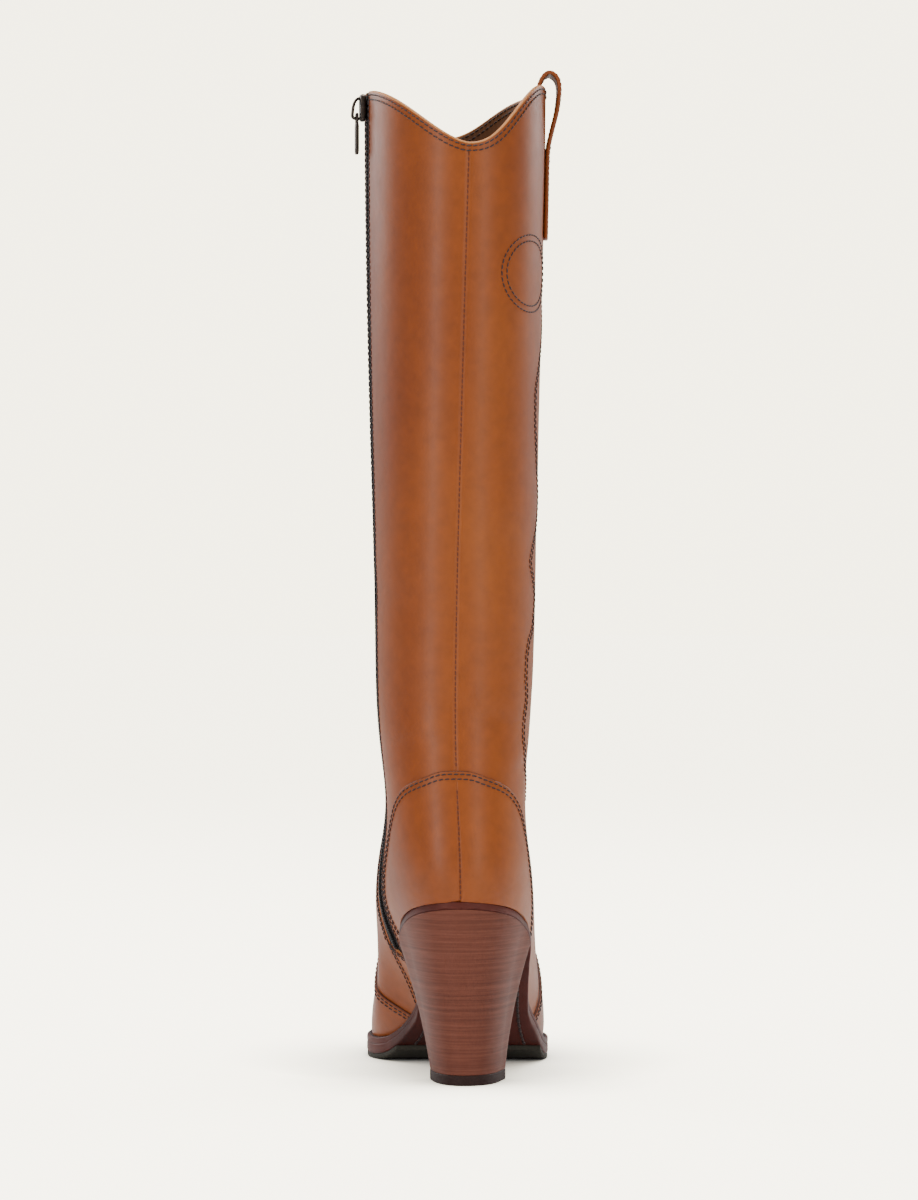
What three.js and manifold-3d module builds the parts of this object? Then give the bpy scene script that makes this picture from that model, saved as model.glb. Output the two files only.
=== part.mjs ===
// Knee-high boot for the right foot, standing on its sole. Millimetres, +Z up, toe towards +Y,
// inner (zip) side towards -X. Every curved piece is worked out from one function, skin().
import * as THREE from "three";
import { mergeVertices } from "three/addons/utils/BufferGeometryUtils.js";
import Module from "manifold-3d";

const wasm = await Module();
wasm.setup();

// Driving sizes
const wall = 2; // upper leather with its lining
const gap = 0.3; // clearance where two pieces meet
const weltThick = 3.2;
const outsoleThick = 4.6;
const seatThick = 3.4; // the outsole skived thin over the heel
const rubberThick = 2.4;
const weltReach = 3.9; // how far the welt stands out past the upper
const liftThick = 5;
const heelBreastY = 58;
const insoleThick = 2.6;
const counterThick = 1.2;
const counterLift = 0.4; // the counter rides a little clear of the upper's facets
const collar = { outerPeak: 486, innerPeak: 484.6, backDip: 454.5, frontDip: 469 };
const zipTapeWide = 9;
const standAt = { x: 1.29, y: -130.12 }; // brings the middle of the footprint to the origin

// Sections of the last with the leather on it, from above the collar to below the toe. Each is an oval
// in a plane through a back (or sole) point and a front (or top) point of the side profile.
const ringColumns = ["backY", "backZ", "frontY", "frontZ", "wide", "inner", "outer", "centre",
  "roundFront", "roundBack", "tuck", "turn", "zip"];
const rings = [
  [5.5, 520, 147.5, 520, 0.5, 44.6, 44.4, -2.0, 2.15, 2.15, 0, 6.3, 274],
  [6, 470, 147, 470, 0.5, 44.5, 44.2, -2.0, 2.15, 2.15, 0, 6.0, 274],
  [6.5, 420, 145, 420, 0.5, 43.9, 43.6, -2.1, 2.15, 2.15, 0, 5.0, 274],
  [8, 370, 141, 370, 0.5, 42.9, 42.6, -2.2, 2.15, 2.15, 0, 4.0, 274],
  [10.5, 320, 134, 320, 0.5, 41.7, 41.4, -2.1, 2.15, 2.15, 0, 3.0, 274],
  [13, 275, 126, 275, 0.5, 40.4, 40.3, -1.9, 2.15, 2.15, 0, 1.8, 274],
  [15, 235, 117.5, 235, 0.5, 39.4, 39.4, -1.8, 2.1, 2.15, 0, 0.8, 274],
  [16, 203, 111.5, 203, 0.5, 38.9, 38.8, -2.0, 2.1, 2.15, 0, 0.4, 274],
  [16, 175, 109.5, 181, 0.5, 37.8, 37.8, -2.4, 2.05, 2.15, 0, 0.6, 273],
  [11.5, 149, 112.5, 168, 0.5, 35.6, 36.0, -2.4, 2.0, 2.15, 0, 1.2, 271],
  [3, 125, 117, 159, 0.5, 33.8, 34.4, -2.0, 1.95, 2.2, 0, 1.8, 270],
  [-1, 103, 122, 152, 0.5, 33.9, 34.4, -1.8, 1.95, 2.25, 0, 2.1, 271],
  [3, 82, 127.5, 146, 0.5, 36.0, 35.8, -1.8, 1.95, 2.3, 0.2, 2.1, 272.5],
  [18, 62, 133.5, 139, 0.5, 38.6, 38.0, -1.9, 1.9, 2.3, 0.7, 2.0, 276],
  [40, 42, 140.5, 130.5, 0.5, 39.8, 39.4, -2.1, 1.9, 2.15, 2.2, 1.6, 283],
  [68, 22, 149, 120, 0.5, 39.0, 40.0, -2.1, 1.9, 2.0, 3.6, 1.0, 288],
  [98, 4, 159.5, 107.5, 0.43, 39.2, 40.6, -1.6, 1.95, 2.0, 3.8, 0.4, 296],
  [127, -6, 172, 93, 0.31, 41.2, 42.6, -0.8, 1.95, 2.2, 1.8, 0, 300],
  [154, -8, 187, 77, 0.28, 43.6, 43.4, -0.4, 2.0, 2.4, 0.2, 0, 318],
  [180, -8, 204, 61.5, 0.32, 43.0, 41.0, -1.0, 2.0, 2.4, 0, 0, 318],
  [203, -8, 221, 49.5, 0.38, 37.6, 35.4, -2.4, 2.0, 2.3, 0, 0, 318],
  [222, -9, 237, 41, 0.46, 29.4, 27.4, -3.6, 1.95, 2.2, 0, 0, 318],
  [226, -14, 250, 32, 0.5, 23.5, 21.5, -4.6, 1.9, 2.1, 0, 0, 318],
  [218, -17, 259, 20.5, 0.5, 21.5, 19.5, -5.0, 1.85, 2.0, 0, 0, 318],
  [208, -18, 263.5, 7, 0.5, 21.5, 19.5, -5.0, 1.85, 2.0, 0, 0, 318],
  [200, -20, 264.5, -7, 0.5, 21.5, 19.5, -5.0, 1.85, 2.0, 0, 0, 318],
];

// Height of the feather line, where the upper meets the sole, along the length of the foot.
const featherLine = [
  { y: -10, z: 92 }, { y: 4, z: 88.8 }, { y: 25, z: 83.8 }, { y: 45, z: 77.2 }, { y: 60, z: 69 },
  { y: 85, z: 48.8 }, { y: 108, z: 30 }, { y: 128, z: 17.4 }, { y: 142, z: 12.2 }, { y: 152, z: 11.1 },
  { y: 190, z: 11.1 }, { y: 212, z: 12.5 }, { y: 240, z: 17 }, { y: 270, z: 24.5 },
];

const lerp = THREE.MathUtils.lerp;
const radians = THREE.MathUtils.degToRad;

function bisect(low, high, test, steps = 40) {
  for (let i = 0; i < steps; i++) {
    const middle = (low + high) / 2;
    if (test(middle)) high = middle;
    else low = middle;
  }
  return (low + high) / 2;
}

// Monotone cubic through a table of { key, value } rows: flat stretches stay flat.
function along(table, key, value, at) {
  const last = table.length - 1;
  const x = THREE.MathUtils.clamp(at, table[0][key], table[last][key]);
  let i = 0;
  while (i < last - 1 && x > table[i + 1][key]) i++;
  const slope = (k) => (table[k + 1][value] - table[k][value]) / (table[k + 1][key] - table[k][key]);
  const tangent = (k) => {
    if (k === 0) return slope(0);
    if (k === last) return slope(last - 1);
    const [before, after] = [slope(k - 1), slope(k)];
    return before * after <= 0 ? 0 : (2 * before * after) / (before + after);
  };
  const step = table[i + 1][key] - table[i][key];
  const s = (x - table[i][key]) / step;
  return table[i][value] * (1 + 2 * s) * (1 - s) ** 2 + table[i + 1][value] * s * s * (3 - 2 * s)
    + step * s * (1 - s) * (tangent(i) * (1 - s) - tangent(i + 1) * s);
}

const feather = (y) => along(featherLine, "y", "z", y);

// The section at t, blended from its four neighbours by a uniform cubic B-spline.
function ringAt(t) {
  const i = Math.floor(t);
  const s = t - i;
  const weights = [(1 - s) ** 3, 3 * s ** 3 - 6 * s * s + 4, -3 * s ** 3 + 3 * s * s + 3 * s + 1, s ** 3];
  const ring = {};
  ringColumns.forEach((name, column) => {
    ring[name] = weights.reduce((sum, weight, k) => {
      const row = THREE.MathUtils.clamp(i - 1 + k, 0, rings.length - 1);
      return sum + (weight * rings[row][column]) / 6;
    }, 0);
  });
  return ring;
}

// Outer face of the upper: t runs down the sections, angle runs round each one from its back point,
// by the outer side, the front and the inner side.
function face(t, angle) {
  const ring = ringAt(t);
  const length = Math.hypot(ring.frontY - ring.backY, ring.frontZ - ring.backZ);
  const dirY = (ring.frontY - ring.backY) / length;
  const dirZ = (ring.frontZ - ring.backZ) / length;
  const u = -Math.cos(angle);
  const s = Math.sin(angle);
  const power = 2 / (u > 0 ? ring.roundFront : ring.roundBack);
  const reach = length * (u > 0 ? 1 - ring.wide : ring.wide);
  const lengthwise = Math.sign(u) * Math.abs(u) ** power * reach;
  const tuck = u < 0 && s < 0 ? 1 / (1 + ring.tuck * u * u) : 1;
  const across = Math.sign(s) * Math.abs(s) ** power * (s > 0 ? ring.outer : ring.inner) * tuck;
  const turn = radians(ring.turn);
  const sideways = across * Math.cos(turn) - lengthwise * Math.sin(turn);
  const forward = ring.wide * length + across * Math.sin(turn) + lengthwise * Math.cos(turn);
  const x = ring.centre + sideways;
  return new THREE.Vector3(x, ring.backY + forward * dirY, ring.backZ + forward * dirZ);
}

function outward(t, angle) {
  const h = 0.02;
  const down = face(t + h, angle).sub(face(t - h, angle));
  const round = face(t, angle + h).sub(face(t, angle - h));
  return down.cross(round).normalize();
}

const skin = (t, angle, offset = 0) => face(t, angle).addScaledVector(outward(t, angle), offset);

const edgeLift = 0.15;
const height = (point) => point.z - feather(point.y) - edgeLift;
const shaftT = (z) => bisect(0, 8, (t) => ringAt(t).backZ < z, 30);

function collarZ(angle) {
  const dip = Math.cos(angle) > 0 ? collar.backDip : collar.frontDip;
  const side = Math.abs(Math.sin(angle));
  const ease = (reach) => THREE.MathUtils.smoothstep(side, 0, reach);
  if (Math.sin(angle) > 0) return lerp(dip, collar.outerPeak, ease(0.92) ** 1.2);
  return lerp(dip, collar.innerPeak, 0.3 * ease(1) + 0.7 * side ** 1.25);
}

// Where the feather line cuts the sections of the face at one offset.
const seatT = (offset) => bisect(9, 14, (t) => height(skin(t, 0, offset)) < 0);
const toeT = (offset) => bisect(19, 24.5, (t) => height(skin(t, Math.PI, offset)) < 0);
const footRange = (t, offset) => [
  bisect(0, Math.PI, (a) => height(skin(t, a, offset)) > 0),
  bisect(Math.PI, 2 * Math.PI, (a) => height(skin(t, a, offset)) < 0),
];

const zipEndT = 14.75;
const zipAngle = (t) => radians(ringAt(t).zip);
function slotAngles(t, offset) {
  if (t <= zipEndT) {
    const middle = zipAngle(t);
    const speed = skin(t, middle + 0.05).distanceTo(skin(t, middle - 0.05)) / 0.1;
    return [middle - zipTapeWide / 2 / speed, middle + zipTapeWide / 2 / speed];
  }
  const endHigh = footRange(zipEndT, offset)[1];
  const high = footRange(t, offset)[1];
  return slotAngles(zipEndT, offset).map((a) => lerp(Math.PI, high, (a - Math.PI) / (endHigh - Math.PI)));
}

// Steps of the upper's own grid, down (collar, heel seat, zip end, toe) and round.
const down = { shaft: 17, arch: 8, foot: 13 };
const round = { outer: 13, front: 11, slot: 1, back: 6 };
const downCount = down.shaft + down.arch + down.foot;
const roundCount = round.outer + round.front + round.slot + round.back;
const slotStart = round.outer + round.front;

function upperRow(i, offset) {
  const seat = seatT(offset);
  if (i <= down.shaft) return lerp(shaftT(475), seat, i / down.shaft);
  if (i <= down.shaft + down.arch) {
    return lerp(seat, zipEndT, ((i - down.shaft) / down.arch) ** 1.3);
  }
  const s = (i - down.shaft - down.arch) / down.foot;
  return lerp(zipEndT, toeT(offset), 1 - (1 - s) ** 1.5);
}

// Grid of points on the face at one offset, trimmed to the collar and the feather line.
function upperGrid(offset) {
  const grid = [];
  for (let i = 0; i <= downCount; i++) {
    const t = i === down.shaft ? seatT(offset) : upperRow(i, Math.min(offset, 0));
    const [low, high] = i <= down.shaft ? [0, 2 * Math.PI] : footRange(t, offset);
    const [slotLow, slotHigh] = slotAngles(t, offset);
    const stops = [[0, low], [round.outer, Math.PI], [slotStart, slotLow],
      [slotStart + round.slot, slotHigh], [roundCount, high]];
    const row = [];
    for (let j = 0; j <= roundCount; j++) {
      let k = 0;
      while (j > stops[k + 1][0]) k++;
      const angle = lerp(stops[k][1], stops[k + 1][1], (j - stops[k][0]) / (stops[k + 1][0] - stops[k][0]));
      const share = Math.max(0, 1 - i / down.shaft) ** 2;
      row.push(skin(t + share * (shaftT(collarZ(angle)) - shaftT(475)), angle, offset));
    }
    if (i === downCount) row.fill(row[round.outer]);
    grid.push(row);
  }
  return grid;
}

// One closed solid between an outer and an inner grid of points, over the cells that are kept.
function thicken(outer, inner, kept = () => true) {
  const ids = new Map();
  const points = [];
  const pointOf = (i, j) => {
    const key = outer[i][j].toArray().map((n) => n.toFixed(4)).join();
    if (!ids.has(key)) {
      ids.set(key, points.length / 2);
      points.push(outer[i][j], inner[i][j]);
    }
    return ids.get(key);
  };
  const triangles = [];
  for (let i = 0; i + 1 < outer.length; i++) {
    for (let j = 0; j + 1 < outer[i].length; j++) {
      if (!kept(i, j)) continue;
      const [a, b, c, d] = [pointOf(i, j), pointOf(i + 1, j), pointOf(i + 1, j + 1), pointOf(i, j + 1)];
      triangles.push([a, b, c], [a, c, d]);
    }
  }
  const solid = triangles.filter(([a, b, c]) => a !== b && b !== c && a !== c);
  const edges = new Map();
  for (const [a, b, c] of solid) {
    for (const [p, q] of [[a, b], [b, c], [c, a]]) edges.set(`${p},${q}`, [p, q]);
  }
  const index = [];
  for (const [a, b, c] of solid) index.push(2 * a, 2 * b, 2 * c, 2 * c + 1, 2 * b + 1, 2 * a + 1);
  for (const [p, q] of edges.values()) {
    if (!edges.has(`${q},${p}`)) index.push(2 * q, 2 * p, 2 * p + 1, 2 * q, 2 * p + 1, 2 * q + 1);
  }
  const geometry = new THREE.BufferGeometry().setFromPoints(points);
  geometry.setIndex(index);
  return geometry;
}

function toManifold(geometry) {
  const bare = geometry.clone();
  bare.deleteAttribute("normal");
  bare.deleteAttribute("uv");
  const merged = mergeVertices(bare);
  return new wasm.Manifold(new wasm.Mesh({
    numProp: 3,
    vertProperties: new Float32Array(merged.attributes.position.array),
    triVerts: new Uint32Array(merged.index.array),
  }));
}

function fromManifold(solid) {
  const mesh = solid.getMesh();
  const geometry = new THREE.BufferGeometry();
  geometry.setAttribute("position", new THREE.BufferAttribute(mesh.vertProperties, 3));
  geometry.setIndex(new THREE.BufferAttribute(mesh.triVerts, 1));
  return geometry;
}

// Outer and inner halves of the footprint from heel to toe, grown sideways from the upper's feather line.
function footprint(offset, grow) {
  const [seat, toe] = [seatT(offset), toeT(offset)];
  const count = 90;
  const loop = [skin(seat, 0, offset)];
  const innerHalf = [];
  for (let i = 1; i < count; i++) {
    const t = lerp(seat, toe, (1 - Math.cos((Math.PI * i) / count)) / 2);
    const [low, high] = footRange(t, offset);
    loop.push(skin(t, low, offset));
    innerHalf.unshift(skin(t, high, offset));
  }
  loop.push(skin(toe, Math.PI, offset), ...innerHalf);
  const grown = loop.map((point, i) => {
    const before = loop[(i + loop.length - 1) % loop.length];
    const after = loop[(i + 1) % loop.length];
    const normal = new THREE.Vector2(after.y - before.y, before.x - after.x).normalize();
    const reach = grow(point.y);
    return { x: point.x + normal.x * reach, y: point.y + normal.y * reach };
  });
  const back = grown.reduce((best, p, i) => (p.y < grown[best].y ? i : best), 0);
  const turned = [...grown.slice(back), ...grown.slice(0, back), grown[back]];
  const tip = turned.reduce((best, p, i) => (p.y > turned[best].y ? i : best), 0);
  return { outer: turned.slice(0, tip + 1), inner: turned.slice(tip).reverse() };
}

function sideX(half, y) {
  let i = 1;
  while (i < half.length - 1 && half[i].y < y) i++;
  const span = half[i].y - half[i - 1].y;
  if (span < 1e-6) return half[i].x;
  const share = THREE.MathUtils.clamp((y - half[i - 1].y) / span, 0, 1);
  return lerp(half[i - 1].x, half[i].x, share);
}

// A plate of the sole: a footprint between two lengths, its top and underside given as heights
// along the foot.
function plate(print, top, bottom, fromY = -Infinity, toY = Infinity) {
  const startY = Math.max(fromY, print.outer[0].y);
  const endY = Math.min(toY, print.outer[print.outer.length - 1].y);
  const ends = [0, 0.35, 1.4, 3.2];
  const stations = [...ends.map((step) => startY + step), ...ends.map((step) => endY - step)];
  for (let y = -3; y < 264; y += 7) if (y > startY + 4.5 && y < endY - 4.5) stations.push(y);
  stations.sort((a, b) => a - b);
  const columns = 4;
  const grid = (level) => {
    const out = [];
    for (const y of stations) {
      const row = [];
      for (let j = 0; j <= columns; j++) {
        const x = lerp(sideX(print.outer, y), sideX(print.inner, y), j / columns);
        row.push(new THREE.Vector3(x, y, level(y)));
      }
      out.push(row);
    }
    return out;
  };
  return thicken(grid(top), grid(bottom));
}

const blend = (y, low, high) => THREE.MathUtils.smoothstep(y, low, high);
const weltDepth = (y) => gap + (weltThick + gap) * blend(y, heelBreastY - 12, heelBreastY + 10);
const outsoleTop = (y) => feather(y) - weltDepth(y);
const soleThick = (y) => lerp(seatThick, outsoleThick, blend(y, heelBreastY - 12, heelBreastY + 10));
const outsoleBottom = (y) => outsoleTop(y) - soleThick(y);
// How far the sole stands out past the upper: little round the heel and at the waist.
function soleReach(y) {
  const reach = lerp(0.4, weltReach, blend(y, heelBreastY - 20, heelBreastY + 14));
  return lerp(reach, 1.3, blend(y, 48, 70) * (1 - blend(y, 100, 124)));
}
const heelReach = (y) => soleReach(y) - 0.1;

const materials = {
  leather: { color: 0xa5602a, roughness: 0.42, metalness: 0 },
  overlay: { color: 0xa05a26, roughness: 0.42, metalness: 0 },
  lining: { color: 0x8a5a34, roughness: 0.7, metalness: 0 },
  sole: { color: 0x5a2e28, roughness: 0.5, metalness: 0 },
  stack: { color: 0x6e4038, roughness: 0.45, metalness: 0 },
  rubber: { color: 0x3f3a36, roughness: 0.8, metalness: 0 },
  tape: { color: 0x1e1a1a, roughness: 0.7, metalness: 0 },
  metal: { color: 0x2a2422, roughness: 0.35, metalness: 0.9 },
};

const boot = new THREE.Group();

function addPart(name, geometry, finish, parent = boot) {
  const mesh = new THREE.Mesh(geometry, new THREE.MeshStandardMaterial(materials[finish]));
  mesh.name = name;
  parent.add(mesh);
  return mesh;
}

const inSlot = (i, j) => j === slotStart && i < down.shaft + down.arch;

function makeUpper() {
  return thicken(upperGrid(0), upperGrid(-wall), (i, j) => !inSlot(i, j));
}

// The counter lies over the upper's back. It is cut from a shell on the upper's own grid by its
// side outline.
function makeCounter() {
  const lastOuter = 8;
  const near = (i, j) => j < lastOuter || j > slotStart;
  const low = down.shaft - 7;
  const rows = (grid) => grid.slice(low, low + 18);
  const shell = toManifold(thicken(
    rows(upperGrid(counterLift + counterThick)), rows(upperGrid(counterLift)), near));
  const side = new THREE.Shape();
  side.moveTo(-20, 152);
  side.lineTo(4, 151.5);
  side.bezierCurveTo(20, 149, 28, 140, 34, 129.5);
  side.bezierCurveTo(46, 109, 62, 88, 82, 30);
  side.lineTo(82, 20);
  side.lineTo(-20, 20);
  side.closePath();
  const block = new THREE.ExtrudeGeometry(side, { depth: 160, bevelEnabled: false, curveSegments: 8 });
  block.applyMatrix4(new THREE.Matrix4().makeBasis(
    new THREE.Vector3(0, 1, 0), new THREE.Vector3(0, 0, 1), new THREE.Vector3(1, 0, 0)));
  block.translate(-80, 0, 0);
  return fromManifold(shell.intersect(toManifold(block)));
}

// The tape and coil fill the slot in the upper, a little below its face.
function makeZip() {
  const rows = down.shaft + down.arch;
  const strip = (offset) => {
    const grid = [];
    for (let i = 0; i <= rows; i++) {
      const t = i === rows ? zipEndT - 0.05 : upperRow(i, 0);
      const [low, high] = slotAngles(t, 0);
      const trim = (high - low) * (gap / zipTapeWide) * 1.3;
      const share = Math.max(0, 1 - i / down.shaft) ** 2;
      grid.push([low + trim, high - trim].map((angle) => skin(
        t + share * (shaftT(collarZ(angle) - 1) - shaftT(475)), angle, offset)));
    }
    return grid;
  };
  return thicken(strip(-0.3), strip(-1.7));
}

function makeWelt() {
  const outer = footprint(0, soleReach);
  const inner = footprint(-wall, () => -0.5);
  const endY = heelBreastY + 4;
  const count = 30;
  const strip = (print, side, level) => {
    const half = print[side];
    const tipY = half[half.length - 1].y;
    return Array.from({ length: count + 1 }, (_, i) => {
      const y = lerp(endY, tipY, Math.sin((Math.PI / 2) * (i / count)));
      return new THREE.Vector3(sideX(half, y), y, level(y));
    });
  };
  const rows = (level) => {
    const edges = [outer, inner].map((print) => [
      ...strip(print, "inner", level), ...strip(print, "outer", level).reverse().slice(1)]);
    return [edges[0], edges[1]];
  };
  return thicken(rows((y) => feather(y) - gap), rows((y) => feather(y) - weltDepth(y) + gap));
}

function makeInsole() {
  const heelRoom = (y) => 2.2 * (1 - blend(y, 10, 50));
  const toeRoom = (y) => 2 * blend(y, 180, 240);
  const print = footprint(-wall, (y) => -1.6 - heelRoom(y) - toeRoom(y));
  const bottom = (y) => outsoleTop(y) + gap;
  return plate(print, (y) => bottom(y) + Math.max(insoleThick, weltDepth(y) + 1), bottom);
}

// Stacked heel: the seat outline drawn in towards the top lift, with a slightly hollow line.
function makeHeel() {
  const print = footprint(0, heelReach);
  const startY = print.outer[0].y;
  const around = 9;
  const outline = [];
  for (let i = 0; i < around; i++) {
    const y = lerp(startY, heelBreastY, 1 - Math.cos((Math.PI / 2) * (i / (around - 1))));
    outline.push(new THREE.Vector2(sideX(print.outer, y), y));
  }
  for (let i = around - 1; i > 0; i--) {
    const { y } = outline[i];
    outline.push(new THREE.Vector2(sideX(print.inner, y), y));
  }
  const seatCentre = { x: 0.7, y: 30 };
  const liftCentre = { x: 3, y: 27 };
  const shrink = { wide: 0.57, long: 0.68, hollow: 0.05 };
  const level = (drop, size, z) => outline.map((p) => {
    const wide = (lerp(1, shrink.wide, drop) - shrink.hollow * 4 * drop * (1 - drop)) * size;
    const long = (lerp(1, shrink.long, drop) - shrink.hollow * 2 * drop * (1 - drop)) * size;
    const x = lerp(seatCentre.x, liftCentre.x, drop) + (p.x - seatCentre.x) * wide;
    const y = lerp(seatCentre.y, liftCentre.y, drop) + (p.y - seatCentre.y) * long;
    return new THREE.Vector3(x, y, z(y));
  });
  const seat = (y) => outsoleBottom(y) - 2 * gap;
  const bottom = liftThick + gap;
  const drops = [0, 0.12, 0.3, 0.5, 0.7, 0.86, 1];
  const cap = [0.02, 0.35, 0.7];
  const side = (drop) => level(drop, 1, (y) => {
    const seatY = lerp(y, (y - liftCentre.y) / shrink.long + seatCentre.y, drop);
    return lerp(seat(seatY), bottom, drop);
  });
  const stack = [
    ...cap.map((size) => level(0, size, seat)),
    ...drops.map(side),
    level(1, 0.02, () => bottom),
  ];
  const flat = (size, z) => level(1, size, () => z);
  const lift = [flat(0.02, liftThick), flat(1, liftThick), flat(0.99, 0), flat(0.02, 0)];
  return { stack: loft(stack), lift: loft(lift) };
}

// A closed solid through rings of points that run the same way round, closed flat at both ends.
function loft(ringsOfPoints) {
  const count = ringsOfPoints[0].length;
  const points = ringsOfPoints.flat();
  const index = [];
  for (let i = 0; i + 1 < ringsOfPoints.length; i++) {
    for (let j = 0; j < count; j++) {
      const [a, b] = [i * count + j, i * count + ((j + 1) % count)];
      index.push(a, a + count, b, b, a + count, b + count);
    }
  }
  const last = points.length - count;
  for (let j = 1; j + 1 < count; j++) {
    index.push(0, j, j + 1);
    index.push(last, last + j + 1, last + j);
  }
  const geometry = new THREE.BufferGeometry().setFromPoints(points);
  geometry.setIndex(index);
  return toManifold(geometry).volume() < 0 ? flip(geometry) : geometry;
}

function flip(geometry) {
  const index = [...geometry.index.array];
  for (let i = 0; i < index.length; i += 3) [index[i], index[i + 1]] = [index[i + 1], index[i]];
  geometry.setIndex(index);
  return geometry;
}

// Pull strap over the collar on the outer side: its line as a distance off the face and a height.
const strap = { wide: 19, thick: 1.9, angle: 81 };
const strapLine = [
  { off: -3.6, z: 446 }, { off: -3.6, z: 462 }, { off: -3.6, z: 478 }, { off: -3.2, z: 487 },
  { off: -0.6, z: 492.2 }, { off: 2.6, z: 493.4 }, { off: 5.8, z: 490.6 }, { off: 6.8, z: 485 },
  { off: 5.8, z: 475.5 }, { off: 3.6, z: 466 }, { off: 1.8, z: 457.5 }, { off: 1.3, z: 449 },
  { off: 1.3, z: 436 }, { off: 1.3, z: 424 }, { off: 1.3, z: 412 },
];

function makePullLoop() {
  const line = new THREE.CatmullRomCurve3(strapLine.map(({ off, z }) => new THREE.Vector3(off, 0, z)));
  const [rows, columns] = [32, 3];
  const layer = (side) => Array.from({ length: rows + 1 }, (_, i) => {
    const point = line.getPointAt(i / rows);
    const tangent = line.getTangentAt(i / rows);
    const off = point.x - tangent.z * side;
    const t = shaftT(point.z + tangent.x * side);
    return Array.from({ length: columns + 1 }, (_, j) => {
      const reach = strap.wide * (j / columns - 0.5);
      return skin(t, radians(strap.angle) + reach / 66, off);
    });
  });
  return thicken(layer(strap.thick / 2), layer(-strap.thick / 2));
}

// Zip slider and its pull, in a frame at the zip line: +X out from the leather, +Z up, Y across the tape.
const slider = { z: 476.5, wide: 9.4, tall: 13.6, base: 0.5, thick: 3.1, bridgeWide: 3 };
const pull = { out: 4.9, up: -3, bar: 0.65, eyeWide: 4.2, eyeLong: 5, wide: 6.4, long: 20 };

function extrudeAcross(shape, width) {
  const options = { depth: width, bevelEnabled: false, curveSegments: 6 };
  const geometry = new THREE.ExtrudeGeometry(shape, options);
  geometry.translate(0, 0, -width / 2);
  geometry.rotateX(Math.PI / 2);
  return geometry;
}

function makeSlider() {
  const [inside, outside] = [slider.base, slider.base + slider.thick];
  const body = new THREE.Shape();
  body.moveTo(inside, -slider.tall / 2);
  body.lineTo(outside - 0.8, -slider.tall / 2);
  body.lineTo(outside, -slider.tall / 2 + 0.8);
  body.lineTo(outside, slider.tall / 2 - 1.6);
  body.lineTo(outside - 1, slider.tall / 2);
  body.lineTo(inside, slider.tall / 2);
  const bridge = new THREE.Shape();
  bridge.moveTo(outside - 0.5, -5.4);
  bridge.lineTo(6.4, -5.4);
  bridge.quadraticCurveTo(7.6, -5.2, 7.4, -3.8);
  bridge.lineTo(6.9, 1);
  bridge.quadraticCurveTo(6.4, 4.6, outside - 0.5, 5);
  const hole = new THREE.Path();
  hole.moveTo(outside, -4.1);
  hole.lineTo(outside, 3.4);
  hole.quadraticCurveTo(5.2, 3.2, 5.6, 0.6);
  hole.lineTo(6.1, -3.2);
  hole.lineTo(6.1, -4.1);
  bridge.holes.push(hole);
  const block = toManifold(extrudeAcross(body, slider.wide));
  return fromManifold(block.add(toManifold(extrudeAcross(bridge, slider.bridgeWide))));
}

function makePull() {
  const plan = new THREE.Shape();
  const half = pull.wide / 2;
  plan.moveTo(0, pull.bar);
  plan.lineTo(half - 1, pull.bar);
  plan.quadraticCurveTo(half, pull.bar, half, -1);
  plan.lineTo(half - 0.6, -9);
  plan.lineTo(half - 0.2, -pull.long + 2.5);
  plan.quadraticCurveTo(half - 0.4, -pull.long, 0, -pull.long);
  plan.quadraticCurveTo(-half + 0.4, -pull.long, -half + 0.2, -pull.long + 2.5);
  plan.lineTo(-half + 0.6, -9);
  plan.lineTo(-half, -1);
  plan.quadraticCurveTo(-half, pull.bar, -half + 1, pull.bar);
  const eye = new THREE.Path();
  eye.moveTo(-pull.eyeWide / 2, -pull.bar);
  eye.lineTo(-pull.eyeWide / 2, -pull.eyeLong);
  eye.lineTo(pull.eyeWide / 2, -pull.eyeLong);
  eye.lineTo(pull.eyeWide / 2, -pull.bar);
  plan.holes.push(eye);
  const options = { depth: 2 * pull.bar, bevelEnabled: false, curveSegments: 4 };
  const geometry = new THREE.ExtrudeGeometry(plan, options);
  geometry.translate(0, 0, -pull.bar);
  geometry.rotateX(Math.PI / 2);
  geometry.rotateZ(Math.PI / 2);
  return geometry;
}

addPart("upper", makeUpper(), "leather");
addPart("counter", makeCounter(), "overlay");
addPart("insole", makeInsole(), "lining");
addPart("welt", makeWelt(), "sole");
addPart("outsole", plate(footprint(0, soleReach), outsoleTop, outsoleBottom), "sole");
addPart("half_sole", plate(footprint(0, (y) => soleReach(y) - 0.3), (y) => outsoleBottom(y) - gap,
  (y) => outsoleBottom(y) - gap - rubberThick, 128), "rubber");
const heel = makeHeel();
addPart("heel_block", heel.stack, "stack");
addPart("top_lift", heel.lift, "rubber");
addPart("zip_tape", makeZip(), "tape");
addPart("pull_loop", makePullLoop(), "leather");

const zipFrame = new THREE.Group();
const zipSpot = shaftT(slider.z);
const zipNormal = outward(zipSpot, zipAngle(zipSpot));
zipFrame.position.copy(skin(zipSpot, zipAngle(zipSpot)));
zipFrame.rotation.z = Math.atan2(zipNormal.y, zipNormal.x);
boot.add(zipFrame);
addPart("zip_slider", makeSlider(), "metal", zipFrame);
const tab = addPart("zip_pull", makePull(), "metal", zipFrame);
tab.position.set(pull.out, 0, pull.up);

boot.position.set(standAt.x, standAt.y, 0);

export default boot;
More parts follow.
